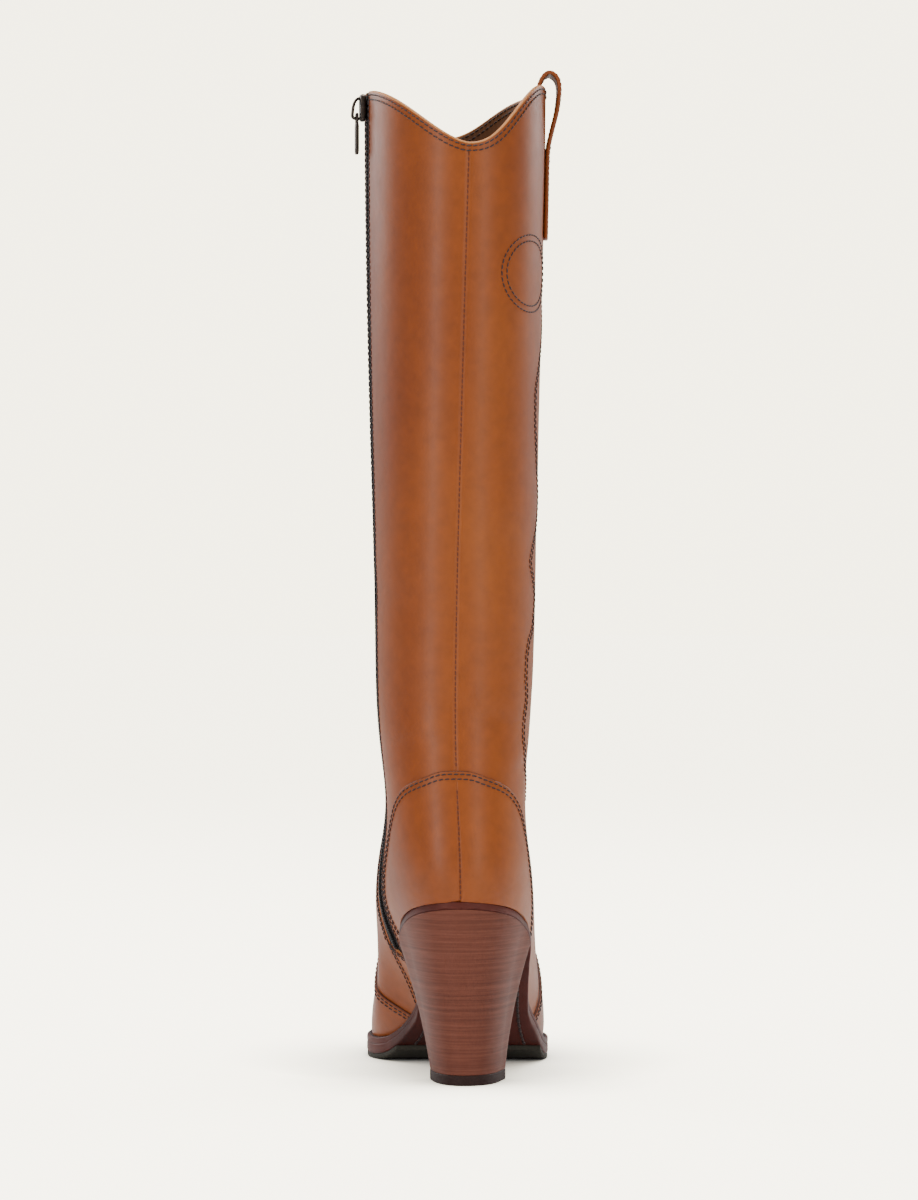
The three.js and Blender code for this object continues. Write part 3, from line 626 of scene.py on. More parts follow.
# Counter: the arch over the heel, from the zip round the back to the outer waist
counterShape = {"thick": 1.25, "rows": 130, "columns": 60, "outerEnd": 76.0, "zipGap": 0.016, "below": 0.06}
counterLine = smoothTable(np.array([  # the arch in side view: distance forward, height
    (-12, 151.6), (10, 151.6), (11.4, 151.4), (13.9, 148.4), (22.2, 142.5), (28.1, 136.2), (33.7, 127.8),
    (45, 108),
    (56, 88), (66, 69), (76, 51), (84, 34)]))


def counterRows(shape, count):
    topT = float(bisect(6, 10, lambda t: face(t, 0.0)[..., 2] < 151.45))
    outerEnd = float(bisect(11, 16, lambda t: skin(t, footRange(t)[0])[..., 1] > shape["outerEnd"]))
    v = np.linspace(0, 1, count) ** 2.4
    past = lambda t, sign: (lambda a: face(t, sign * a)[..., 2] > counterLine(face(t, sign * a)[..., 1]))
    outerT = lerp(topT, outerEnd, v)
    outerLow = footRange(outerT)[0]
    outerArch = bisect(outerLow, np.full(count, 2.6), past(outerT, 1))
    innerT = lerp(topT, zipEndT + shape["below"], v)
    innerLow = tau - footRange(innerT)[1]
    innerArch = bisect(innerLow, np.full(count, 2.6), past(innerT, -1))
    zipSide = tau - slotAngles(np.minimum(innerT, zipEndT))[1] - shape["zipGap"]
    return (outerT, outerLow, outerArch), (innerT, -innerLow, -np.minimum(innerArch, zipSide), -zipSide)


def evenLine(t, angle, count):  # the same line over the leather in even steps
    points = face(t, angle)
    length = np.concatenate([[0], np.cumsum(np.linalg.norm(np.diff(points, axis=0), axis=-1))])
    where = np.linspace(0, length[-1], count)
    return np.interp(where, length, t), np.interp(where, length, angle)


def counterEdge(shape, count):  # once over the arch, from the outer waist to the zip
    outer, inner = counterRows(shape, 400)
    shows = inner[2] > inner[3] + 1e-4
    t = np.concatenate([outer[0][::-1], inner[0][shows][1:]])
    angle = np.concatenate([outer[2][::-1], inner[2][shows][1:]])
    return np.stack(evenLine(t, angle, count), -1)


def nearestTo(points, line):
    away = np.full(points.shape[:-1], 99.0)
    for part in np.array_split(line, 20):
        apart = np.linalg.norm(points[..., None, :] - part, axis=-1)
        away = np.minimum(away, apart.min(-1))
    return away


def makeCounter(shape):
    outer, inner = counterRows(shape, int(shape["rows"] * max(coarse, 0.6)))
    s = tightSteps(int(shape["columns"] * max(coarse, 0.6)), 0, 3.0)
    rim = np.concatenate([face(*counterEdge(shape, 700).T), face(inner[0], inner[3])])
    for name, (t, low, arch) in (("counter_outer", outer), ("counter_inner", inner[:3])):
        angle = lerp(low[:, None], arch[:, None], s[None, :])
        tt = np.repeat(t[:, None], len(s), 1)
        bare = face(tt, angle)
        away = nearestTo(bare, rim)
        away[:, -1] = 0
        offset = edgeProfile(away, shape["thick"], panelEdge["radius"])
        creased = offset - creaseDepth(bare, angle)
        sheetPiece(name, (tt, angle, creased), away, "counter")


makeCounter(counterShape)

# Vamp: the forepart, laid over the quarters with a tongue up the instep
vampShape = {"thick": 1.1, "innerY": 116.0, "outerY": 120.0, "tongueY": 148.0, "rows": 110, "columns": 150,
             "tongue": [(0, 0.0), (0.12, 0.2), (0.27, 0.6), (0.345, 0.68), (0.4, 0.52), (0.445, 0.18),
                        (0.5, 0.0)]}


def vampStart(shape, share):  # t of the vamp's rear edge at each share of the way over the foot
    innerT = float(bisect(13, 18, lambda t: skin(t, footRange(t)[1])[..., 1] > shape["innerY"]))
    outerT = float(bisect(13, 18, lambda t: skin(t, footRange(t)[0])[..., 1] > shape["outerY"]))
    tongueT = float(bisect(11, 19, lambda t: face(t, math.pi)[..., 1] > shape["tongueY"]))
    knots = [(place, outerT + forward) for place, forward in shape["tongue"][:5]]
    knots += [(place, tongueT + forward) for place, forward in shape["tongue"][5:]]
    knots += [(1 - place, tongueT + forward) for place, forward in shape["tongue"][-2:-3:-1]]
    knots += [(1 - place, innerT + forward) for place, forward in shape["tongue"][4::-1]]
    return smoothTable(np.array(knots))(share)


def vampGrid(shape):
    share = np.linspace(0, 1, int(shape["columns"] * coarse) + 1)
    start = vampStart(shape, share)
    toe = toeT(0.0)
    v = np.concatenate([np.array(panelEdge["steps"]) / 140,
                        lerp(0.013, 1, 1 - (1 - np.linspace(0, 1, int(shape["rows"] * coarse))) ** 1.4)[1:]])
    t = start[None, :] + v[:, None] * (toe - start)[None, :]
    low, high = footRange(t)
    angle = low + (high - low) * share[None, :]
    bare = face(t, angle)
    away = nearestTo(bare, face(*evenLine(t[0], angle[0], 500)))
    away[0] = 0
    offset = edgeProfile(away, shape["thick"], panelEdge["radius"])
    return (t, angle, offset - creaseDepth(bare, angle)), away


def makeVamp(shape):
    grid, away = vampGrid(shape)
    return sheetPiece("vamp", grid, away)


makeVamp(vampShape)
print("panels ready")


# Sewing: rows of single stitches that bed into the leather at both ends
thread = {"pitch": 3.0, "long": 0.86, "thick": 0.36, "rise": 0.2, "slant": 0.1}
fineThread = {"pitch": 2.6, "long": 0.8, "thick": 0.27, "rise": 0.12, "slant": 0.05}
darkRows, rustRows = Heap(), Heap()


def unit(vectors):
    return vectors / np.maximum(np.linalg.norm(vectors, axis=-1, keepdims=True), 1e-9)


def sheetPath(t, angle, height=0.0, shift=0.0):  # a line on the leather, its way out, and a step to its side
    t, angle = np.broadcast_arrays(np.asarray(t, float), np.asarray(angle, float))
    bare, out = face(t, angle), outward(t, angle)
    points = bare + out * (height - creaseDepth(bare, angle))[..., None]
    return points + unit(np.cross(out, np.gradient(points, axis=0))) * shift, out


def alongPath(path):
    points, out = path
    steps = np.linalg.norm(np.diff(points, axis=0), axis=-1)
    return np.concatenate([[0], np.cumsum(steps)])


def pathAt(path, where):
    points, out = path
    length = alongPath(path)
    pick = lambda values: np.stack([np.interp(where, length, values[:, c]) for c in range(3)], -1)
    return pick(points), unit(pick(out))


def sewRow(heap, path, look=thread, start=0.0, stop=0.0):
    total = alongPath(path)[-1] - start - stop
    count = max(1, int(round(total / look["pitch"])))
    pitch = total / count
    share = np.array([0.0, 0.1, 0.3, 0.7, 0.9, 1.0])
    height = np.array([-1.0, 0.1, 1.0, 1.0, 0.1, -1.0]) * look["rise"]
    radius = np.array([0.5, 0.85, 1.0, 1.0, 0.85, 0.5]) * look["thick"]
    s = start + pitch * (np.arange(count)[:, None] + (1 - look["long"]) / 2 + look["long"] * share)
    middle, out = pathAt(path, s)
    run = unit(np.gradient(middle, axis=1))
    side = unit(np.cross(out, run))
    middle = middle + out * height[None, :, None] + side * ((share - 0.5) * 2 * look["slant"])[None, :, None]
    turn = np.linspace(0, tau, 7)[:-1]
    ring = (out[:, :, None] * (np.cos(turn) * 0.8)[None, None, :, None]
            + side[:, :, None] * np.sin(turn)[None, None, :, None])
    heap.addTubes(middle[:, :, None] + ring * radius[None, :, None, None])


collarSewing = {"first": 2.0, "second": 4.3}
for below in collarSewing.values():  # two rows under the collar's edge, seen on the leather and on the lining
    slotLow, slotHigh = slotAngles(shaftT(480.0))
    turnRound = np.linspace(float(slotHigh) - tau + 0.035, float(slotLow) - 0.035, 700)
    drop = below * np.sqrt(1 + (np.gradient(collarZ(turnRound), turnRound) / 44) ** 2)
    down = shaftT(collarZ(turnRound) - drop)
    sewRow(darkRows, sheetPath(down, turnRound, 0.02))
    inside = skin(down, turnRound, -wall - 0.02)
    sewRow(darkRows, (inside, -outward(down, turnRound)))

backSeam = {"top": 450.0, "low": 153.5}
seamLine = levelT(np.linspace(backSeam["top"], backSeam["low"], 300), 0.0)
sewRow(rustRows, sheetPath(seamLine, np.zeros(300), -0.3), fineThread)


def besideZip(beyond, fromZ, toT, count=500):  # a line beside the slot on its rear or forward side
    t = lerp(shaftT(fromZ), toT, np.linspace(0, 1, count))
    low, high = slotAngles(t)
    rear = beyond > 0
    edge = high if rear else low
    return t, edge + beyond / speedAt(t, edge)


zipSewing = {"row": 1.9, "second": 4.0, "top": 480.0}
for beyond in (zipSewing["row"], zipSewing["second"], -zipSewing["row"], -zipSewing["second"]):
    sewRow(darkRows, sheetPath(*besideZip(beyond, zipSewing["top"], zipEndT + 0.02), -0.03))

# Outer side: two ovals under the strap and a waved flame below them, all in two rows
ovalSewing = {"low": 374.0, "high": 411.5, "back": 23.0, "front": 77.0, "inset": 3.0, "middle": 90.0}
flameSewing = {"apart": 2.6, "middle": 90.0, "trim": 5.0}
flameLine = np.array([  # height, degrees back from the middle of the outer side
    (385, 0), (380.5, 2.6), (372.7, 6.2), (360.3, 13.7), (347.9, 21.5), (335.6, 27.2), (323.2, 26.6),
    (313.3, 23.7),
    (298.4, 18.4), (278.6, 9), (268.7, 14), (259.8, 22.4), (252.3, 26.6), (243.9, 20.2), (235, 13.9),
    (221.6, 17.9),
    (214.2, 25.7), (204.3, 29), (196.8, 29), (186.9, 26.1), (177, 28.4), (167.1, 28), (159.7, 24),
    (150.8, 16.6),
    (142.4, 7.3), (135, 0)])


def sewOvals(shape):
    turn = np.linspace(0, tau, 241)
    for inset in (0.0, shape["inset"]):
        half = math.radians(shape["front"] - shape["back"]) / 2 - inset / 44
        tall = (shape["high"] - shape["low"]) / 2 - inset
        z = (shape["high"] + shape["low"]) / 2 + tall * np.sin(turn)
        angle = math.radians(shape["back"] + shape["front"]) / 2 + half * np.cos(turn)
        for place in (angle, 2 * math.radians(shape["middle"]) - angle):
            sewRow(darkRows, sheetPath(shaftT(z), place))


def sewFlame(shape):
    z = np.linspace(flameLine[0, 0], flameLine[-1, 0], 600)
    back = np.radians(smoothTable(flameLine * [-1, 1])(-z))
    for sign in (1, -1):
        angle = math.radians(shape["middle"]) - sign * back
        t = levelT(z, angle)
        sewRow(darkRows, sheetPath(t, angle))
        path = sheetPath(t, angle, 0.0, sign * shape["apart"])
        sewRow(darkRows, path, start=shape["trim"], stop=shape["trim"])


sewOvals(ovalSewing)
sewFlame(flameSewing)

# Rows round the counter's arch and down its middle, along the vamp's edge, and on the side seams
counterSewing = {"rows": (1.7, 4.1)}
arch = counterEdge(counterShape, 500)
for inset in counterSewing["rows"]:
    sewRow(darkRows, sheetPath(arch[:, 0], arch[:, 1], counterShape["thick"], inset), start=2, stop=3)
topOfArch = float(arch[:, 0].min())
seatLine = np.linspace(topOfArch + 0.36, seatT(0.0) - 0.05, 120)
sewRow(rustRows, sheetPath(seatLine, np.zeros(120), counterShape["thick"]), fineThread)

vampSewing = {"rows": (1.7, 4.1)}
share = np.linspace(0, 1, 900)
vampT = vampStart(vampShape, share)
vampLow, vampHigh = footRange(vampT)
vampLine = evenLine(vampT, vampLow + (vampHigh - vampLow) * share, 700)
for inset in vampSewing["rows"]:
    sewRow(darkRows, sheetPath(*vampLine, vampShape["thick"], -inset), start=1, stop=1)

# Inner side, below the zip: a box of stitches at its end and a seam from there down to the welt
zipEndSewing = {"across": (1.6, 3.4), "wide": 6.2, "seamEndY": 110.0, "seamApart": 2.2}


def sewZipEnd(shape):
    low, high = (float(a) for a in slotAngles(zipEndT))
    reach = shape["wide"] / float(speedAt(zipEndT, (low + high) / 2))
    middle = (low + high) / 2
    mmPerT = float(np.linalg.norm(face(zipEndT + 0.05, middle) - face(zipEndT - 0.05, middle))) / 0.1
    angle = np.linspace(middle - reach, middle + reach, 60)
    for below in shape["across"]:
        sewRow(darkRows, sheetPath(np.full(60, zipEndT + below / mmPerT), angle))
    endT = float(bisect(13, 18, lambda t: skin(t, footRange(t)[1])[..., 1] > shape["seamEndY"]))
    s = np.linspace(0, 1, 200)
    t = lerp(zipEndT - 0.02, endT, s)
    startAngle = low - zipSewing["row"] / float(speedAt(zipEndT, low))
    fromFeather = footRange(t)[1] - lerp(footRange(zipEndT)[1] - startAngle, 0.0, s ** 1.3)
    line = evenLine(t, fromFeather, 200)
    for shift in (0.0, shape["seamApart"]):
        sewRow(darkRows, sheetPath(*line, 0.02, shift), stop=0.5)


sewZipEnd(zipEndSewing)
darkRows.build("dark_stitching", darkThread)
rustRows.build("back_seam_stitching", rustThread)
print("sewing ready")


# Pull loop: a strap over the collar, its two edges sewn, with a sewn block on its outer leg
strapShape = {"wide": 19.0, "thick": 1.9, "angle": 81.0, "round": 0.75, "rows": 180, "sewn": 2.0,
              "block": 450.0}
strapLine = np.array([(-3.6, 446), (-3.6, 462), (-3.6, 478), (-3.2, 487), (-0.6, 492.2), (2.6, 493.4),
                      (5.8, 490.6),
                      (6.8, 485), (5.8, 475.5), (3.6, 466), (1.8, 457.5), (1.3, 449), (1.3, 436), (1.3, 424),
                      (1.3, 412)])


def smoothLine(knots, count):  # Catmull-Rom through the knots, evenly spaced
    padded = np.concatenate([[2 * knots[0] - knots[1]], knots, [2 * knots[-1] - knots[-2]]])
    s = np.linspace(0, len(knots) - 1, count * 4)
    i = np.minimum(s.astype(int), len(knots) - 2)
    f = (s - i)[:, None]
    a, b, c, d = (padded[i + k] for k in range(4))
    dense = 0.5 * (2 * b + (c - a) * f + (2 * a - 5 * b + 4 * c - d) * f ** 2
                   + (3 * b - a - 3 * c + d) * f ** 3)
    length = np.concatenate([[0], np.cumsum(np.linalg.norm(np.diff(dense, axis=0), axis=-1))])
    where = np.linspace(0, length[-1], count)
    return np.stack([np.interp(where, length, dense[:, k]) for k in range(dense.shape[1])], -1)


def strapPoint(line, side, reach):  # side: mm off the strap's own middle, reach: mm across its width
    tangent = unit(np.gradient(line, axis=0))
    off = line[:, 0] - tangent[:, 1] * side
    z = line[:, 1] + tangent[:, 0] * side
    return skin(shaftT(z), math.radians(strapShape["angle"]) + reach / 66, off)


def makeStrap(shape):
    line = smoothLine(strapLine.astype(float), int(shape["rows"] * max(coarse, 0.6)))
    half, thick, curve = shape["wide"] / 2, shape["thick"] / 2, shape["round"]
    corner = np.linspace(0, math.pi / 2, 5)
    flat = np.linspace(-half + curve, half - curve, 9)
    section = [(x, thick) for x in flat]
    section += [(half - curve + curve * math.sin(a), thick - curve + curve * math.cos(a)) for a in corner[1:]]
    section += [(half - curve + curve * math.cos(a), -thick + curve - curve * math.sin(a)) for a in corner]
    section += [(x, -thick) for x in flat[::-1][1:]]
    left = curve - half
    section += [(left - curve * math.sin(a), -thick + curve - curve * math.cos(a)) for a in corner[1:]]
    section += [(left - curve * math.cos(a), thick - curve + curve * math.sin(a)) for a in corner[:-1]]
    puff = 0.12 * np.exp(-((np.abs(np.array(section)[:, 0]) - half + shape["sewn"]) / 0.7) ** 2)
    columns = [strapPoint(line, y * (1 - p), x) for (x, y), p in zip(section, puff)]
    strap = Heap()
    strap.addTubes(np.stack(columns, 1)[None])
    thing = strap.build("pull_strap", upperLeather)
    weld(thing)
    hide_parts("pull_loop")
    rows = Heap()
    for reach in (-half + shape["sewn"], half - shape["sewn"]):
        for side in (1, -1):
            points = strapPoint(line, side * (thick - 0.12), reach)
            out = unit(points - strapPoint(line, 0, reach))
            sewRow(rows, (points, out), fineThread, start=1.5, stop=1.5)
    for level in (0, 7.0):  # the block that holds the loop down, above and below the bar tack
        z = shape["block"] + level
        at = np.argmin(np.abs(line[:, 1] - z) + (line[:, 0] < 0) * 100)
        across = np.linspace(-half + shape["sewn"], half - shape["sewn"], 40)
        points = np.stack([strapPoint(line, thick - 0.05, x)[at] for x in across])
        out = unit(points - np.stack([strapPoint(line, 0, x)[at] for x in across]))
        sewRow(rows, (points, out), fineThread)
    rows.build("strap_stitching", darkThread)


makeStrap(strapShape)
print("pull loop ready")

# Zip: two cloth tapes, a coil of interlocked teeth up the middle, a slider and its swinging pull
zipShape = {"half": 4.2, "pitch": 0.8, "tooth": 0.33, "reach": 1.9, "hook": 0.5, "proud": 0.15,
            "tapeLow": -1.6, "rows": 420}


def zipLine(count, top=None):
    t = lerp(shaftT(top or 483.0), zipEndT - 0.04, np.linspace(0, 1, count))
    low, high = slotAngles(t)
    return t, (low + high) / 2


def makeZip(shape):
    t, middle = zipLine(int(shape["rows"] * coarse))
    turn = lambda reach: middle + reach / speedAt(t, middle)
    hem = [(-shape["half"], -0.6), (-shape["half"], -0.25), (-3.4, -0.3), (-2.2, -0.42), (-0.9, -0.5),
           (0, -0.5), (0.9, -0.5), (2.2, -0.42), (3.4, -0.3), (shape["half"], -0.25), (shape["half"], -0.6)]
    under = [(reach, shape["tapeLow"]) for reach in (shape["half"], 1.5, -1.5, -shape["half"])]
    columns = [skin(t, turn(reach), np.full(t.shape, off)) for reach, off in hem + under]
    tape = Heap()
    tape.addTubes(np.stack(columns, 1)[None])
    thing = tape.build("zip_tapes", zipCloth)
    weld(thing)
    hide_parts("zip_tape")
    t, middle = zipLine(1500, 481.0)
    path = (skin(t, middle, np.full(t.shape, shape["proud"])), outward(t, middle))
    total = alongPath(path)[-1]
    count = int(total / shape["pitch"] * max(coarse, 0.5))
    s = (np.arange(count) + 0.5) * total / count
    centre, out = pathAt(path, s)
    run = unit(np.gradient(centre, axis=0))
    side = unit(np.cross(out, run)) * np.where(np.arange(count) % 2, 1, -1)[:, None]
    stations = [(shape["reach"], -0.7, 0.7), (shape["reach"], -0.15, 1.0), (1.2, 0.12, 1.0), (0.1, 0.16, 1.1),
                (-shape["hook"], 0.05, 1.35), (-shape["hook"] - 0.28, -0.25, 0.6)]
    turnRing = np.linspace(0, tau, 7)[:-1]
    rings = []
    for reach, high, swell in stations:
        place = centre + side * reach + out * (high - 0.1)
        ring = run[:, None] * np.cos(turnRing)[None, :, None] + out[:, None] * np.sin(turnRing)[None, :, None]
        rings.append(place[:, None] + ring * shape["tooth"] * swell)
    teeth = Heap()
    teeth.addTubes(np.stack(rings, 1))
    teeth.build("zip_teeth", zipCoil)


makeZip(zipShape)

# Slider and pull: in a frame at the zip, out from the leather, across the tape, and up
sliderShape = {"z": 476.5, "base": 0.5, "thick": 3.1, "wide": 9.4, "tall": 13.6, "waist": 0.76}
pullShape = {"out": 4.9, "up": -3.0, "wire": 0.62, "eyeWide": 2.7, "eyeLow": -5.6}


def zipFrame(points):
    t = float(shaftT(sliderShape["z"]))
    middle = math.radians(float(ringAt(np.array(t))["zip"]))
    out = outward(t, middle)
    out = unit(np.array([out[0], out[1], 0.0]))
    across, up = np.array([-out[1], out[0], 0.0]), np.array([0.0, 0.0, 1.0])
    points = np.asarray(points, float)
    return face(t, middle) + points[..., :1] * out + points[..., 1:2] * across + points[..., 2:] * up


def tubeAlong(line, wide, thick, across=(0, 1, 0), power=2.0, around=16):  # an oval rod along a line
    line, across = np.asarray(line, float), np.asarray(across, float)
    run = unit(np.gradient(line, axis=0))
    flat = unit(np.cross(run, across))
    turn = np.linspace(0, tau, around + 1)[:-1]
    c, s = np.cos(turn), np.sin(turn)
    c, s = np.sign(c) * np.abs(c) ** (2 / power), np.sign(s) * np.abs(s) ** (2 / power)
    wide, thick = (np.broadcast_to(np.asarray(v, float), len(line))[:, None, None] for v in (wide, thick))
    return line[:, None] + across * c[None, :, None] * wide + flat[:, None] * s[None, :, None] * thick


def makeSlider(shape):
    slider = Heap()
    z = np.array([-1, -0.97, -0.88, -0.6, -0.25, 0.1, 0.45, 0.75, 0.93, 0.985, 1.0]) * shape["tall"] / 2
    share = (z / shape["tall"] + 0.5)
    wide = shape["wide"] / 2 * lerp(shape["waist"], 1.0, ease(share, 0.15, 0.85))
    ends = np.sqrt(np.clip(1 - np.abs(2 * share - 1) ** 14, 0.12, 1))
    middle = shape["base"] + shape["thick"] / 2
    spine = np.stack([np.full(z.shape, middle), z * 0, z], -1)
    body = tubeAlong(spine, wide * ends, shape["thick"] / 2 * ends, power=5.0, around=32)
    slider.addTubes(zipFrame(body)[None])
    hump = np.array([(2.6, -5.3), (4.4, -5.3), (6.0, -5.2), (6.95, -4.5), (7.1, -3.2), (6.9, -1.2),
                     (6.5, 1.2), (5.8, 3.0), (4.6, 4.4), (2.6, 5.0)])
    hump = smoothLine(hump, 36)
    arc = np.stack([hump[:, 0], hump[:, 0] * 0, hump[:, 1]], -1)
    slider.addTubes(zipFrame(tubeAlong(arc, 1.5, 0.75, power=3.0))[None])
    thing = slider.build("slider_body", gunmetal)
    weld(thing)
    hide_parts("zip_slider")


def pullPlace():
    return np.array([pullShape["out"], 0.0, pullShape["up"]])


def makePull(shape):
    pull = Heap()
    wire, side = shape["wire"], shape["eyeWide"]
    eye = smoothLine(np.array([(side - 0.1, shape["eyeLow"]), (side, -3.0), (side, -1.4), (side - 0.5, -0.3),
                               (side - 1.3, 0.0), (0, 0.0), (1.3 - side, 0.0), (0.5 - side, -0.3),
                               (-side, -1.4),
                               (-side, -3.0), (0.1 - side, shape["eyeLow"])]), 60)
    eye = np.stack([eye[:, 0] * 0, eye[:, 0], eye[:, 1]], -1)
    pull.addTubes(zipFrame(tubeAlong(eye, wire, wire, across=(1, 0, 0), around=12) + pullPlace())[None])
    z = np.array([-4.6, -4.75, -5.1, -6.5, -9, -12, -15, -17.5, -19.0, -19.7, -19.95, -20.0])
    wide = np.array([2.5, 2.95, 3.15, 3.0, 2.7, 2.75, 2.95, 3.05, 2.75, 2.1, 1.3, 0.6])
    thick = np.array([0.5, 0.75, 0.88, 0.92, 0.92, 0.92, 0.92, 0.92, 0.9, 0.78, 0.58, 0.3])
    tab = tubeAlong(np.stack([z * 0, z * 0, z], -1), wide, thick, power=4.0, around=28)
    pull.addTubes(zipFrame(tab + pullPlace())[None])
    ridge = tubeAlong(np.stack([z[2:8] * 0, z[2:8] * 0, z[2:8] - 0.8], -1), 1.3, 1.12, power=3.0)
    pull.addTubes(zipFrame(ridge + pullPlace())[None])
    thing = pull.build("slider_pull", gunmetal, body="zip_pull")
    weld(thing)
    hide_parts("zip_pull")


makeSlider(sliderShape)
makePull(pullShape)
print("zip ready")


# Sole: welt, leather outsole, rubber half sole and the sock inside
def blend(y, low, high):
    return ease(np.asarray(y, float), low, high)


def weltDepth(y):
    return sole["gap"] + (sole["welt"] + sole["gap"]) * blend(y, sole["breast"] - 12, sole["breast"] + 10)


def outsoleTop(y):
    return feather(y) - weltDepth(y)


def outsoleBottom(y):
    full = blend(y, sole["breast"] - 12, sole["breast"] + 10)
    return outsoleTop(y) - lerp(sole["seat"], sole["leather"], full)


def soleReach(y):  # how far the sole stands out past the upper: little at the heel and at the waist
    reach = lerp(0.4, sole["reach"], blend(y, sole["breast"] - 20, sole["breast"] + 14))
    return lerp(reach, 1.3, blend(y, 48, 70) * (1 - blend(y, 100, 124)))


def footLoop(offset, count=420):  # the upper's foot outline and its way outward, once round from the heel
    seat, toe = seatT(offset), toeT(offset)
    t = lerp(seat, toe, (1 - np.cos(math.pi * np.arange(1, count) / count)) / 2)
    low, high = footRange(t, offset)
    loop = np.concatenate([[skin(seat, 0.0, offset)], skin(t, low, offset), [skin(toe, math.pi, offset)],
                           skin(t, high, offset)[::-1]])
    step = np.roll(loop, -2, axis=0) - np.roll(loop, 2, axis=0)
    way = unit(np.stack([step[:, 1], -step[:, 0], np.zeros(len(loop))], -1))
    return loop, way


footLoops = {0.0: footLoop(0.0), -wall: footLoop(-wall)}


def outlineSides(offset, grow):  # x of the outer and of the inner edge against y
    loop, way = footLoops[offset]
    grown = loop + way * grow(loop[:, 1])[:, None]
    grown = np.roll(grown, -int(np.argmin(grown[:, 1])), axis=0)
    tip = int(np.argmax(grown[:, 1]))
    outer, inner = grown[:tip + 1], np.concatenate([grown[tip:], grown[:1]])[::-1]
    sides = []
    for half in (outer, inner):
        order = np.maximum.accumulate(half[:, 1]) + np.arange(len(half)) * 1e-7
        sides.append((order, half[:, 0]))
    return sides, grown


def solePlate(name, grow, top, bottom, curve, materials, node, offset=0.0, fromY=None,
              size=(150, 34)):
    (outer, inner), outline = outlineSides(offset, grow)
    start = outer[0][0] if fromY is None else fromY
    end = outer[0][-1]
    rows = int(size[0] * max(coarse, 0.6))
    y = lerp(start, end, tightSteps(rows, 2.0, 2.0))
    s = tightSteps(int(size[1] * max(coarse, 0.6)), 1.6, 1.6)
    left, right = np.interp(y, *outer), np.interp(y, *inner)
    x = left[:, None] + (right - left)[:, None] * s[None, :]
    yy = np.repeat(y[:, None], len(s), 1)
    edge = outline[::2, :2]
    if fromY is not None:
        line = np.linspace(left[0], right[0], 60)
        edge = np.concatenate([edge[edge[:, 1] > fromY], np.stack([line, np.full(60, fromY)], -1)])
    away = np.full(x.shape, 99.0)
    for part in np.array_split(edge, 12):
        apart = np.hypot(x[..., None] - part[:, 0], yy[..., None] - part[:, 1])
        away = np.minimum(away, apart.min(-1))
    away[0], away[-1], away[:, 0], away[:, -1] = 0, 0, 0, 0
    drop = curve - np.sqrt(np.maximum(curve ** 2 - np.maximum(curve - away, 0) ** 2, 0))
    upperFace = np.stack([x, yy, top(yy) - drop], -1)
    lowerFace = np.stack([x, yy, bottom(yy) + drop], -1)
    r, c = x.shape
    points = np.concatenate([upperFace.reshape(-1, 3), lowerFace.reshape(-1, 3)])
    faces = list(map(tuple, gridFaces(r, c))) + list(map(tuple, gridFaces(r, c, r * c, True)))
    rim = ([(0, j) for j in range(c)] + [(i, c - 1) for i in range(1, r)]
           + [(r - 1, j) for j in range(c - 2, -1, -1)] + [(i, 0) for i in range(r - 2, 0, -1)])
    rim = [i * c + j for i, j in rim]
    for a, b in zip(rim, rim[1:] + rim[:1]):
        faces.append((a, b, r * c + b, r * c + a))
    thing = makeObject(name, points, faces, materials)
    weld(thing)
    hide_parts(node)
    return thing


# "seal" is the cement that fills the joints
plateShape = {"outsoleCurve": 0.9, "rubberCurve": 0.7, "sockCurve": 0.8, "seal": 0.34}
solePlate("leather_outsole", soleReach, lambda y: outsoleTop(y) + plateShape["seal"], outsoleBottom,
          plateShape["outsoleCurve"], [soleLeather], "outsole")
solePlate("rubber_half_sole", lambda y: soleReach(y) - 0.3,
          lambda y: outsoleBottom(y) + 0.02, lambda y: outsoleBottom(y) - sole["gap"] - sole["rubber"],
          plateShape["rubberCurve"], [soleRubber], "half_sole", fromY=sole["halfFrom"])
solePlate("lining_sock", lambda y: -1.6 - 1.4 * (1 - blend(y, 10, 50)) - 2 * blend(y, 180, 240),
          lambda y: outsoleTop(y) + sole["gap"] + np.maximum(2.6, weltDepth(y) + 1),
          lambda y: outsoleTop(y) + sole["gap"], plateShape["sockCurve"], [liningLeather],
          "insole",
          offset=-wall)

weltShape = {"inner": -2.2, "curve": 0.9, "start": 59.0, "sewn": 2.1, "pitch": 3.6, "under": 4.0}


